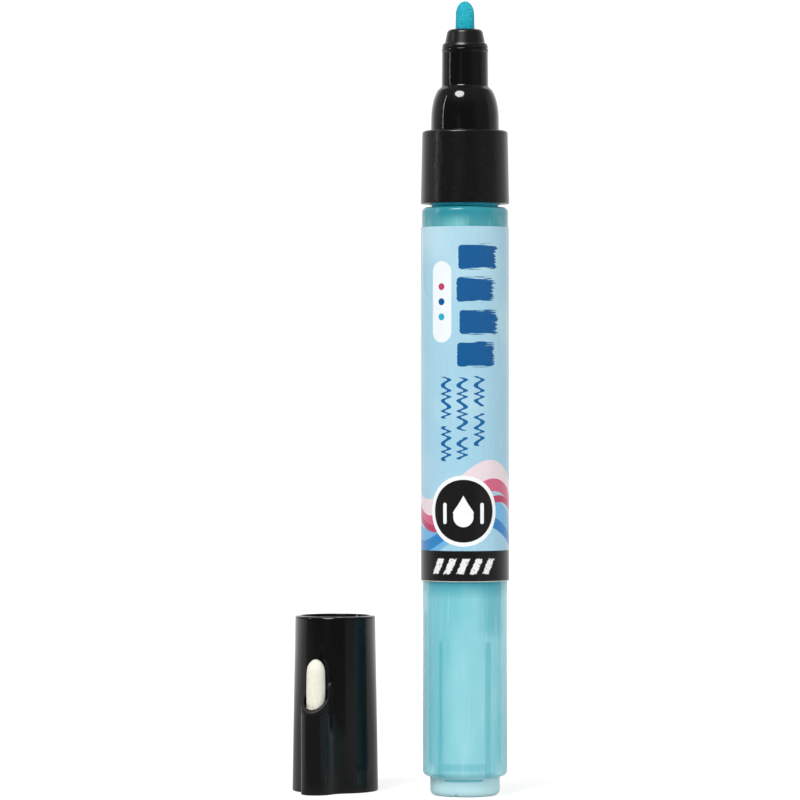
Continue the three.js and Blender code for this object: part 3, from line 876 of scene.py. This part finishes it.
def barrel_piece(wall, film, shoulder, neck):
    """Tube with a rounded tail and shoulder and a plain neck, its bore wetted by a film of paint.

    The wall changes to the stained and shaded shoulder's material behind the label, and to the neck's
    above.
    """
    corners = [
        (TAIL_HOLE, TAIL_Z, 0.15),
        (BARREL_TAIL_RADIUS, TAIL_Z, 1.2),
        (SHOULDER_RADIUS - 0.01, LABEL_TOP_Z - 5, 0.5),
        (SHOULDER_RADIUS, SHOULDER_Z, 1.5),
        (NECK_RADIUS, SHOULDER_Z, 0.2),
        (NECK_RADIUS, NECK_TOP_Z, 0.15),
        (NECK_BORE, NECK_TOP_Z, 0.15),
        (NECK_BORE, SHOULDER_Z - 1.1, 0.5),
        (BARREL_BORE, SHOULDER_Z - 2.8, 0.8),
        (BARREL_BORE, TAIL_Z + 2.2, 0.8),
        (TAIL_HOLE, TAIL_Z + 1.4, 0.3),
    ]

    def wet_bore(radius, height, x):
        below = (radius < BARREL_BORE + 0.05) & (height < SHOULDER_Z - 1.0)
        return (height > TAIL_Z + 0.1) & (below | (radius < NECK_BORE + 0.1))

    def stained_and_shaded_wall(radius, height, x):
        behind_label = (height > LABEL_TOP_Z - 6) & (radius > BARREL_BORE + 0.05)
        return behind_label | (height > SHOULDER_Z - 1.0)

    def neck_wall(radius, height, x):
        return (height > SHOULDER_Z + 0.05) & (radius < NECK_RADIUS + 0.1)

    shape = revolved(rounded(corners))
    materials = [wall, film, shoulder, neck]
    made = make_piece("barrel_shell", *shape, "marker_body", materials, "barrel_plastic", "barrel")
    return zoned(made, wet_bore, stained_and_shaded_wall, neck_wall)


def label_piece(material):
    """Film tube round the barrel, its cut edges a little rounded."""
    corners = [
        (BARREL_TAIL_RADIUS + 0.09, LABEL_Z, 0.02),
        (LABEL_RADIUS, LABEL_Z, 0.06),
        (LABEL_RADIUS, LABEL_TOP_Z, 0.06),
        (SHOULDER_RADIUS + 0.015, LABEL_TOP_Z, 0.02),
    ]
    shape = revolved(rounded(corners))
    return make_piece("label_film", *shape, "marker_body", [material], "label_film", "label_sleeve")


def notched(vertices):
    """Cuts a small notch into the foot's edge at the front.

    Vertices near the bottom edge rise by a cosine bump of x, and less the higher they are.
    """
    x, y, z = vertices.T
    across = np.clip(np.abs(x - NOTCH_X) / NOTCH_HALF, 0, 1)
    edge = np.clip(1 - z / NOTCH_FADE, 0, 1) * (np.hypot(x, y) > NOTCH_RADIUS) * (y < 0)
    lift = NOTCH_RISE * (0.5 + 0.5 * np.cos(math.pi * across)) * edge
    return np.stack([x, y, z + lift], 1)


def plug_piece(materials):
    """Foot, spigot and the hollow sleeve that stands up inside the barrel, with a notch in the rim.

    The sleeve's two sides, left and right of the front, take the third material: painted shade.
    """
    corners = [
        (0, 0, 0),
        (FOOT_RADIUS, 0, 1.0),
        (FOOT_RADIUS, TAIL_Z - 0.02, 0.15),
        (SPIGOT_RADIUS, TAIL_Z - 0.02, 0.1),
        (SPIGOT_RADIUS, SPIGOT_TOP_Z, 0.4),
        (SLEEVE_RADIUS, SPIGOT_TOP_Z, 0.3),
        (SLEEVE_RADIUS, SLEEVE_TOP_Z, 0.2),
        (SLEEVE_BORE, SLEEVE_TOP_Z, 0.2),
        (SLEEVE_BORE, CUP_FLOOR, 0.5),
        (0, CUP_FLOOR, 0),
    ]
    outline = rounded(corners, closed=False)
    flat = np.stack([np.linspace(NOTCH_RADIUS, FOOT_FLAT_RADIUS, 5), np.zeros(5)], 1)
    outline = np.concatenate([outline[:1], flat, outline[2:]])
    vertices, faces = revolved(outline, 2 * SIDES)
    shape = (notched(vertices), faces)
    made = make_piece(
        "tail_plug_moulding", *shape, "marker_body", materials, "plug_plastic", "tail_plug"
    )

    def outside(radius, height, x):
        return (radius > SLEEVE_BORE + 0.2) & (height > TAIL_Z)

    # The sleeve's left and right sides, painted darker for the shade at its edges
    def sides(radius, height, x):
        side = (np.abs(x) > SHADED_SIDES_X) & (radius < SLEEVE_RADIUS + 0.1)
        return outside(radius, height, x) & side

    def inside(radius, height, x):
        return (radius < SLEEVE_BORE + 0.05) & (height > CUP_FLOOR - 0.05)

    return zoned(made, outside, sides, inside)


def collar_piece(material):
    """Tapered ring with a rounded top edge, open over the nozzle's flange and the neck."""
    corners = [
        (COLLAR_FOOT_BORE, COLLAR_Z, 0.1),
        (COLLAR_RADIUS, COLLAR_Z, 0.12),
        (COLLAR_RADIUS - COLLAR_TAPER, COLLAR_TOP_Z, 0.5),
        (COLLAR_LIP_BORE, COLLAR_TOP_Z, 0.1),
        (COLLAR_LIP_BORE, COLLAR_TOP_Z - COLLAR_LIP, 0.1),
        (COLLAR_BORE, COLLAR_TOP_Z - COLLAR_LIP, 0.1),
        (COLLAR_BORE, NOZZLE_Z - 0.1, 0.1),
        (COLLAR_FOOT_BORE, NOZZLE_Z - 0.65, 0.1),
    ]
    shape = revolved(rounded(corners))
    return make_piece("collar_ring", *shape, "marker_body", [material], "collar_plastic", "collar")


def nozzle_piece(material):
    """Flange, an ogive that is part of an ellipse, and a spout with a bead at its end.

    A fillet at the spout's foot takes the place of the ogive's last points.
    """
    ogive_z = NOZZLE_Z + OGIVE_RISE
    ogive = arc(OGIVE_CENTRE, ogive_z, OGIVE_WIDTH, OGIVE_LENGTH, 0, OGIVE_END, OGIVE_POINTS)
    kept = ogive[:-FILLET_POINTS]
    outer = rounded(
        [
            (CHAMBER_BORE, NOZZLE_Z, 0),
            (NOZZLE_FLANGE_RADIUS, NOZZLE_Z, 0.1),
            (NOZZLE_FLANGE_RADIUS, NOZZLE_Z + FLANGE_HEIGHT, 0.1),
            (OGIVE_CENTRE + OGIVE_WIDTH + 0.07, NOZZLE_Z + FLANGE_HEIGHT, 0.1),
            (*ogive[0], 0),
        ],
        closed=False,
    )
    spout = rounded(
        [
            (*ogive[-FILLET_POINTS], 0),
            (*ogive[-1], 0.6),
            (SPOUT_RADIUS - 0.065, NOZZLE_TOP_Z - 0.75, 0.5),
            (SPOUT_RADIUS, NOZZLE_TOP_Z - 0.35, 0.3),
            (SPOUT_RADIUS, NOZZLE_TOP_Z, 0.18),
            (SPOUT_BORE, NOZZLE_TOP_Z, 0.1),
            (SPOUT_BORE, NOZZLE_Z + 6.5, 0.2),
            (CHAMBER_BORE, NOZZLE_Z + 5.0, 0.2),
            (CHAMBER_BORE, NOZZLE_Z + 0.2, 0),
        ],
        closed=False,
    )
    shape = revolved(np.concatenate([outer[:-1], kept, spout]))
    return make_piece(
        "nozzle_front", *shape, "marker_body", [material], "black_gloss_plastic", "nozzle"
    )


def holder_piece(material):
    """Mouth piece: a ring and a groove under a small rounded cone, on a stem down in the spout."""
    ring_z = NOZZLE_TOP_Z + 0.03
    corners = [
        (HOLDER_BORE, HOLDER_Z, 0.1),
        (HOLDER_STEM_RADIUS, HOLDER_Z, 0.1),
        (HOLDER_STEM_RADIUS, ring_z, 0.05),
        (RING_RADIUS - 0.04, ring_z, 0.12),
        (RING_RADIUS - 0.02, ring_z + 0.45, 0.15),
        (RING_RADIUS - 0.2, ring_z + 0.88, 0.2),
        (GROOVE_RADIUS, ring_z + GROOVE_HEIGHT, 0.12),
        (GROOVE_RADIUS - 0.06, ring_z + 1.3, 0.3),
        (HOLDER_STEM_RADIUS - 0.02, MOUTH_TOP_Z, 1.0),
        (HOLDER_BORE, MOUTH_TOP_Z, 0.12),
    ]
    shape = revolved(rounded(corners))
    return make_piece(
        "mouth_piece", *shape, "marker_body", [material], "black_gloss_plastic", "nib_holder"
    )


def nib_outline(base_z, tip_z):
    """Bullet nib: a long cylinder, a slight taper, and a half ellipse for the tip."""
    tip = arc(0, tip_z - TIP_LENGTH, TIP_RADIUS, TIP_LENGTH, 0, 90, TIP_RINGS)
    shaft_foot = base_z + 2 * NIB_FOOT_ROUND
    shaft = np.linspace(shaft_foot, tip_z - TIP_LENGTH - TIP_TAPER, SHAFT_RINGS)
    body = np.stack([np.full_like(shaft, NIB_RADIUS), shaft], 1)
    edge = [[NIB_RADIUS - NIB_FOOT_ROUND, base_z], [NIB_RADIUS, base_z + NIB_FOOT_ROUND]]
    foot = [[0, base_z], *edge]
    return np.concatenate([foot, body, tip])


def fuzzed(vertices, centre, amount, seed):
    """Roughens a nib: each vertex moves inward along its radius by seeded noise up to amount mm."""
    random = np.random.default_rng(seed)
    offset = vertices[:, :2] - centre
    radius = np.hypot(*offset.T)
    move = random.uniform(-amount, 0, len(vertices)) * (radius > 0.05)
    scale = 1 + move / np.maximum(radius, 0.3)
    return np.column_stack([centre + offset * scale[:, None], vertices[:, 2]])


def nib_piece(name, centre, base_z, tip_z, body, material, slot, replaced, seed):
    """A fibre nib about an axis at centre, from base_z to tip_z."""
    vertices, faces = revolved(nib_outline(base_z, tip_z), SMALL_SIDES, centre)
    vertices = fuzzed(vertices, np.array(centre), NIB_FUZZ, seed)
    return make_piece(name, vertices, faces, body, [material], slot, replaced)


def smooth_min(first, second, width):
    """The smaller of two distances, blended over width where they are close."""
    share = np.clip(0.5 + 0.5 * (second - first) / width, 0, 1)
    return second * (1 - share) + first * share - width * share * (1 - share)


def cup_radius(height):
    """Radius of the cap's tapered cup at a height: a straight line from the mouth to the crown."""
    return CAP_MOUTH_RADIUS + (CAP_CROWN_RADIUS - CAP_MOUTH_RADIUS) * height / CAP_HEIGHT


def cap_wall_radius(angle, height):
    """Distance from the cap's axis to its outer wall at an angle and height.

    The wall is where the smooth union of two distances is 0: to the tapered cup, and to the
    nib tube, which a plane slanted at 45 degrees cuts off at its mouth. The union is wide on
    the tube's right, less so towards the mouth, and narrow in the groove on its left. The zero
    is found by halving between the cup's wall and a circle outside everything.
    """
    reach = math.dist(SPARE_AXIS, CAP_AXIS)
    cup = cup_radius(height)
    low, high = cup - 0.01, cup + SEARCH_REACH
    for _ in range(HALVINGS):
        middle = (low + high) / 2
        along, aside = middle * np.cos(angle), middle * np.sin(angle)
        tube = np.hypot(along - reach, aside) - TUBE_RADIUS
        mouth = (along - reach - TUBE_HEIGHT + height) / math.sqrt(2)
        cut = -smooth_min(-tube, -mouth, LIP_ROUND)
        right = np.clip(0.5 + aside / FILLET_TURN, 0, 1)
        right *= 1 - FILLET_FADE * np.clip((height - FILLET_FADE_Z) / FILLET_FADE_HEIGHT, 0, 1)
        fillet = GROOVE_FILLET + (TUBE_FILLET - GROOVE_FILLET) * right * right * (3 - 2 * right)
        outside = smooth_min(cut, middle - cup, fillet) > 0
        low, high = np.where(outside, low, middle), np.where(outside, middle, high)
    return high


def cap_outline():
    """The cap's section, and which of its points lie on the rim and the outer wall.

    It runs from the ceiling's middle down the bore, and up the wall to the crown's middle. The
    wall's points are closer where the nib's tube ends in its slanted mouth.
    """
    levels = np.concatenate([np.arange(*run) for run in WALL_LEVELS])
    wall = np.stack([cup_radius(levels), levels], 1)
    crown = rounded(
        [
            (cup_radius(WALL_TOP_Z), WALL_TOP_Z, 0),
            (CAP_CROWN_RADIUS, CAP_HEIGHT, 0.4),
            (DISH_RADIUS + 0.2, CAP_HEIGHT, 0.1),
            (DISH_RADIUS, CAP_HEIGHT - DISH_DEPTH, 0.15),
            (0, CAP_HEIGHT - DISH_DEPTH, 0),
        ],
        closed=False,
    )
    rim = arc(CAP_MOUTH_RADIUS - RIM_ROUND, RIM_ROUND, RIM_ROUND, RIM_ROUND, -90, 0, 6)
    bore = rounded(
        [
            (0, CAP_CEILING, 0),
            (CAP_UPPER_BORE - 0.2, CAP_CEILING, 0.3),
            (CAP_UPPER_BORE, LINER_Z, 0.1),
            (CAP_BORE, LINER_Z - 0.25, 0.1),
            (CAP_BORE, GRIP_Z + 0.5, 0.1),
            (CAP_BORE - 0.15, GRIP_Z, 0.3),
            (CAP_BORE, GRIP_Z - 0.5, 0.1),
            (CAP_BORE, 0.12, 0),
        ],
        closed=False,
    )
    outline = np.concatenate([bore, [[CAP_BORE + 0.12, 0.0]], rim, wall, crown[1:]])
    outer = np.zeros(len(outline), bool)
    outer[len(bore) + 1 : len(bore) + 1 + len(rim) + len(wall)] = True
    return outline, outer


def cap_piece(material):
    """The cap's shell, its wall swollen to the nib tube's lobe, with the tube's bore cut out of it.

    The grid is finer in angle about the tube, which faces the way from the cap's axis to the nib's.
    """
    outline, outer = cap_outline()
    facing = math.atan2(SPARE_AXIS[1] - CAP_AXIS[1], SPARE_AXIS[0] - CAP_AXIS[0])
    fine = np.arange(-LOBE_DEGREES, LOBE_DEGREES, FINE_DEGREES)
    coarse = np.arange(LOBE_DEGREES, 360 - LOBE_DEGREES, COARSE_DEGREES)
    off = np.radians(np.concatenate([fine, coarse]))
    vertices, faces = revolved(outline, len(off))
    rings = len(outline) - 2
    height = np.repeat(outline[1:-1, 1:], len(off), 1)
    radius = np.repeat(outline[1:-1, :1], len(off), 1)
    swell = (cap_wall_radius(off + 0 * height, height) - cup_radius(height)) * outer[1:-1, None]
    radius = radius + np.where(height < LOBE_TOP_Z, np.maximum(swell, 0), 0)
    x = CAP_AXIS[0] + radius * np.cos(off + facing)
    y = CAP_AXIS[1] + radius * np.sin(off + facing)
    vertices[: rings * len(off)] = np.stack([x, y, height], -1).reshape(-1, 3)
    vertices[rings * len(off) :, :2] = CAP_AXIS
    body = plain_object("cap_body_source", vertices, faces)
    bore = [
        (0, TUBE_FLOOR),
        (TUBE_BORE, TUBE_FLOOR),
        (TUBE_BORE, TUBE_STEP_Z),
        (TUBE_MOUTH, TUBE_STEP_Z + 0.6),
        (TUBE_MOUTH, CUTTER_TOP_Z),
        (0, CUTTER_TOP_Z),
    ]
    cutter = plain_object("cap_bore_cutter", *revolved(bore, SMALL_SIDES, SPARE_AXIS))
    cut = body.modifiers.new("bore", "BOOLEAN")
    cut.object = cutter
    cut.operation = "DIFFERENCE"
    cut.solver = "EXACT"
    graph = bpy.context.evaluated_depsgraph_get()
    made = placed("cap_body", bpy.data.meshes.new_from_object(body.evaluated_get(graph)))
    for source in (body, cutter):
        bpy.data.objects.remove(source)
    return dressed(made, "cap", [material], "cap_shell")


def inner_cap_piece(material):
    """Liner with a flange at its mouth and a post to the crown."""
    corners = [
        (0, LINER_CEILING, 0),
        (LINER_BORE, LINER_CEILING, 0.4),
        (LINER_BORE, LINER_Z, 0.15),
        (LINER_FLANGE_RADIUS, LINER_Z, 0.1),
        (LINER_FLANGE_RADIUS, LINER_Z + LINER_WALL, 0.1),
        (LINER_RADIUS, LINER_Z + LINER_WALL, 0.1),
        (LINER_RADIUS, LINER_CEILING + LINER_WALL, 0.3),
        (POST_RADIUS, LINER_CEILING + LINER_WALL, 0.2),
        (POST_RADIUS, LINER_TOP_Z, 0.1),
        (0, LINER_TOP_Z, 0),
    ]
    shape = revolved(rounded(corners, closed=False), SMALL_SIDES, CAP_AXIS)
    return make_piece("inner_cap_liner", *shape, "cap", [material], "white_plastic", "inner_cap")


def valve_spring_piece(material):
    """Round wire wound about the marker's axis, at rest; pressing the nib shortens it towards its
    foot.

    The wire's middle is at (r cos a, r sin a, z), with z in step with a. Its section is a circle
    about that point, across the helix: w cos b along the radius and w sin b along the other
    normal. A flat face closes each end.
    """
    wire = SPRING_WIRE / 2
    radius = SPRING_RADIUS - wire
    height = SPRING_TOP_Z - SPRING_Z - SPRING_WIRE
    turned = 2 * math.pi * SPRING_TURNS
    slope = math.atan(height / (turned * radius))
    share = np.linspace(0, 1, SPRING_TURNS * STEPS_A_TURN + 1)[:, None]
    sine, cosine = np.sin(turned * share), np.cos(turned * share)
    around = np.arange(WIRE_SIDES) * 2 * math.pi / WIRE_SIDES
    out, across = wire * np.cos(around), wire * np.sin(around)
    vertices = np.stack(
        [
            (radius + out) * cosine - across * math.sin(slope) * sine,
            (radius + out) * sine + across * math.sin(slope) * cosine,
            SPRING_Z + wire + height * share - across * math.cos(slope),
        ],
        -1,
    ).reshape(-1, 3)
    first = list(range(WIRE_SIDES))
    last = [len(vertices) - WIRE_SIDES + index for index in first]
    faces = [*grid_faces(len(share), WIRE_SIDES, False), first[::-1], last]
    shape = (vertices, faces)
    spring = make_piece(
        "valve_spring_coil", *shape, "marker_body", [material], "spring_steel", "valve_spring"
    )
    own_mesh(spring)


def dress_frame(materials):
    """Gives the CAD nodes that stay in view their material."""
    for node, material in materials.items():
        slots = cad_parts[node].data.materials
        slots.clear()
        slots.append(material)


def gloss_dimming(tree, place):
    """Share of the floor's light that gloss loses, by the place on the floor in metres.

    The room is dark on the photographer's side, so the share is high in front of the object,
    most of all far away and on the left, smaller beside it, and none well behind it.
    """
    depth = add(tree, "SeparateXYZ", (place,), 1)
    front = add(tree, "MapRange", (depth, -0.03, 0.01, 0.93, 0.55))
    right = add(tree, "VectorMath", (place, LIT_FLOOR_WAY), 1, operation="DOT_PRODUCT")
    right = add(tree, "MapRange", (right, -0.02, 0.0, 0.0, 0.15))
    away = add(tree, "MapRange", (depth, -0.5, -0.15, 0.93, 0.83))
    away = add(tree, "Math", (away, right), operation="SUBTRACT")
    front = add(tree, "Math", (front, away), operation="MINIMUM")
    behind = add(tree, "MapRange", (depth, 0.12, 0.45, 1.0, 0.0))
    return add(tree, "Math", (front, behind), operation="MULTIPLY")


def paper(name, glow, shaded, dimmed_in_gloss):
    """White studio paper: where the camera, gloss or glass sees it, it glows, so that it is white.

    Within half a metre of the object the glow falls to the given one, so that the shadow there
    shows. Any other ray meets plain paper that throws light back on the object.
    """
    material, tree = blank(name)
    path = tree.nodes.new("ShaderNodeLightPath").outputs
    gloss_ray, camera_ray = path["Is Glossy Ray"], path["Is Camera Ray"]
    seen = add(tree, "Math", (camera_ray, gloss_ray), operation="MAXIMUM")
    seen = add(tree, "Math", (seen, path["Is Transmission Ray"]), operation="MAXIMUM")
    place = add(tree, "TexCoord", output="Object")
    far = add(tree, "VectorMath", (place,), 1, operation="LENGTH")
    strength = add(tree, "MapRange", (far, SHADOW_NEAR, SHADOW_FAR, glow, 1.0))
    light = add(tree, "Emission", {"Color": (1, 1, 1, 1), "Strength": strength})
    shade = add(tree, "BsdfDiffuse", {"Color": (shaded, shaded, shaded, 1)})
    both = add(tree, "AddShader", (light, shade))
    plain = add(tree, "BsdfDiffuse", {"Color": (PLAIN_PAPER, PLAIN_PAPER, PLAIN_PAPER, 1)})
    if dimmed_in_gloss:
        dimmed = add(tree, "Math", (gloss_dimming(tree, place), gloss_ray), operation="MULTIPLY")
        dark = add(tree, "BsdfDiffuse", {"Color": (DARK_ROOM, DARK_ROOM, DARK_ROOM, 1)})
        both = add(tree, "MixShader", (dimmed, both, dark))
    add(tree, "OutputMaterial", (add(tree, "MixShader", (seen, plain, both)),))
    return material


def sheet(name, corners, material):
    """One flat sheet of the studio, its corners in metres."""
    mesh = bpy.data.meshes.new(name)
    mesh.from_pydata(corners, [], [tuple(range(len(corners)))])
    mesh.materials.append(material)
    placed(name, mesh)


def studio_air():
    """Light from all round, by its direction: bright behind the object and dim in front and above.

    The level grows by each ramp's gain as the direction's part along a way goes from start to
    end: a glow about the soft box, the room's right side, and its back in two steps. Then it
    turns to the ceiling's with the direction's height. Matt surfaces get more from the right,
    where a large panel too dull to show in gloss stands. The camera sees white.
    """
    world = bpy.data.worlds.new("studio_air")
    bpy.context.scene.world = world
    world.use_nodes = True
    tree = world.node_tree
    tree.nodes.clear()
    way = add(tree, "TexCoord", output="Generated")
    x, y, z = (add(tree, "SeparateXYZ", (way,), axis) for axis in range(3))
    toward = add(tree, "VectorMath", (way, KEY_WAY), 1, operation="DOT_PRODUCT")
    ramps = (
        (toward, 0.985, 0.997, 0.16),
        (x, 0.35, 0.75, 0.11),
        (y, -0.12, 0.12, 0.28),
        (y, 0.2, 0.9, 0.42),
    )
    level = AIR_LEVEL
    for along, start, end, gain in ramps:
        ramp = (along, start, end, 0.0, gain)
        rise = add(tree, "MapRange", ramp, interpolation_type="SMOOTHSTEP")
        level = add(tree, "Math", (rise, level))
    height = add(tree, "MapRange", (z, 0.3, 0.7, 0.0, 1.0), interpolation_type="SMOOTHSTEP")
    level = add(tree, "Mix", {0: height, 2: level, 3: CEILING_LIGHT})
    path = tree.nodes.new("ShaderNodeLightPath").outputs
    right = add(tree, "VectorMath", (way, FILL_WAY), 1, operation="DOT_PRODUCT")
    ramp = (right, 0.0, 0.9, 0.0, SIDE_FILL)
    fill = add(tree, "MapRange", ramp, interpolation_type="SMOOTHSTEP")
    fill = add(tree, "Mix", {0: path["Is Glossy Ray"], 2: fill, 3: 0.0})
    level = add(tree, "Math", (level, fill))
    seen = (path["Is Camera Ray"], path["Is Transmission Ray"])
    seen = add(tree, "Math", seen, operation="MAXIMUM")
    level = add(tree, "Mix", {0: seen, 2: level, 3: 1.0})
    light = add(tree, "Background", {"Color": (1, 1, 1, 1), "Strength": level})
    add(tree, "OutputWorld", (light,))


def lamp(name, place, target, size, watts):
    """An oval soft box at a place, facing a target, in metres and watts."""
    light = bpy.data.lights.new(name, "AREA")
    light.shape = "ELLIPSE"
    light.size, light.size_y = size
    light.energy = watts
    made = placed(name, light)
    made.location = place
    aim = np.array(target) - np.array(place)
    made.rotation_euler = Vector(aim).to_track_quat("-Z", "Y").to_euler()


def studio():
    """White floor and backdrop, a soft box high at the front left, and a narrow strip at the left."""
    reach, top = ROOM_REACH, ROOM_HEIGHT
    floor = [(-reach, -reach, 0), (reach, -reach, 0), (reach, reach, 0), (-reach, reach, 0)]
    backdrop = [(-reach, reach, 0), (reach, reach, 0), (reach, reach, top), (-reach, reach, top)]
    sheet("floor", floor, paper("floor_paper", glow=0.8, shaded=0.3, dimmed_in_gloss=True))
    white = paper("backdrop_paper", glow=1.0, shaded=0.05, dimmed_in_gloss=False)
    sheet("backdrop", backdrop, white)
    studio_air()
    lamp("soft_box", KEY_PLACE, KEY_AIM, KEY_SIZE, KEY_WATTS)
    lamp("left_strip", STRIP_PLACE, STRIP_AIM, STRIP_SIZE, STRIP_WATTS)


def camera():
    """The photograph's viewpoint: level with the middle of the marker, 0.75 metre in front of it."""
    data = bpy.data.cameras.new("camera")
    data.lens = LENS
    data.sensor_width = FILM_WIDTH
    made = placed("camera", data)
    made.location = CAMERA_PLACE
    made.rotation_euler = (math.pi / 2, 0, 0)
    bpy.context.scene.camera = made


camera()
studio()

# Heights of the wall's painted shadow under the label, and of the shoulder's paint and painted shade
# under the collar
under = (LABEL_Z - 3.0, LABEL_Z)
over = (LABEL_TOP_Z + 0.6, LABEL_TOP_Z + 2.2)
# Middle 1.6 puts the palest x right of the axis, so the barrel's right side is painted lighter
wall = wall_material(
    "milky_polypropylene",
    thin="#b0f2f8",
    thick="#84dae6",
    paint_and_shadow="#20a6ba",
    middle=1.6,
    heights=under,
    alpha=0.66,
    roughness=0.13,
)
film = wall_material(
    "paint_film",
    thin="#50cee0",
    thick="#34bed2",
    paint_and_shadow="#1497ad",
    middle=1.6,
    heights=under,
    alpha=0.5,
    roughness=0.4,
)
# Paint inside darkens the shoulder, with painted shade under the collar; middle -2.6 paints its right
# darker
shoulder = wall_material(
    "paint_stained_and_shaded_shoulder",
    thin="#94dbe0",
    thick="#4da2ad",
    paint_and_shadow="#3698a6",
    middle=-2.6,
    heights=over,
    alpha=0.8,
    roughness=0.12,
)
# The neck's teal is far brighter than its own: painted light for what the barrel lets into the
# collar's shadow
neck = moulded("paint_stained_neck_with_painted_light", "#08d8ff", "#05ccf0", 0.5)
wetted = moulded("paint_wetted_polypropylene", "#6ccfdd", "#7bd6e2", 0.35, alpha=0.15)
# Dark teal on the sleeve's left and right sides: painted shade for its edges seen through the wall
run = moulded("painted_shade_on_sleeve_sides", "#0a8ca5", "#1298b0", 0.35, alpha=0.95)
dry = moulded("natural_polypropylene_bore", "#e4f6f8", "#eefafb", 0.45, alpha=0.12)
foot = foot_material()
white = moulded("white_polypropylene", "#d9e4e6", "#e8ecec", 0.4)

barrel_piece(wall, film, shoulder, neck)
label_piece(label_material())
plug_piece([foot, wetted, run, dry])
collar_piece(black_satin("satin_black_polypropylene", 0.26))
nozzle_piece(black_gloss("gloss_black_polypropylene"))
holder_piece(black_satin("fine_satin_black_polypropylene", 0.27))
painted = fibre("painted_nib_fibre", "#008ca0", "#06b0c4", "#8ae2ea")
nib_piece("nib_tip", (0.0, 0.0), NIB_Z, NIB_TIP_Z, "nib", painted, "nib_fibre", "nib", SEED)

# Satin where the tube's lip ends on its right, in the hollow beside that, and round the mouth
outward = np.subtract(SPARE_AXIS, CAP_AXIS)
outward = outward / np.hypot(*outward)
rightward = np.array([-outward[1], outward[0]])
lip_end = np.add(SPARE_AXIS, 2.5 * rightward - 0.8 * outward)
hollow = np.add(SPARE_AXIS, 3.2 * rightward - 0.8 * outward)
satin_patches = (
    (lip_end.tolist(), 0.9, 1.6, 13.0, 15.0, 0.0, 0.6),
    (hollow.tolist(), 1.4, 3.2, 13.5, 16.5, 0.22, 0.0),
    (SPARE_AXIS, 2.8, 3.4, 13.7, 14.1, 0.0, 0.4),
)
cap_piece(black_gloss("cap_gloss_black_polypropylene", satin_patches))
inner_cap_piece(white)
bare = fibre("dry_nib_fibre", "#e2dfcd", "#ebe9db", "#f4f3ea", "#7e7a6a")
ends = (SPARE_Z, SPARE_Z + NIB_TIP_Z - NIB_Z)
nib_piece(
    "spare_nib_tip", SPARE_AXIS, *ends, "spare_nib", bare, "dry_nib_fibre", "spare_nib", SEED + 1
)
valve_spring_piece(moulded("drawn_steel_wire", "#b0b4b8", "#c2c6ca", 0.3, metal=1.0, size=0.3))
dress_frame(
    {
        "neck_gasket": moulded("foamed_seal", "#d8d8d2", "#e6e6e0", 0.7, size=0.3),
        "valve_housing": white,
        "valve_stem": white,
        "spring_retainer": white,
        "valve_seat": moulded("black_rubber", "#1c1c1c", "#262626", 0.75),
        "mixing_ball": moulded("paint_coated_steel_ball", "#3fb2c4", "#5cc3d2", 0.45, size=0.8),
    }
)

bpy.context.scene.view_settings.view_transform = "Standard"
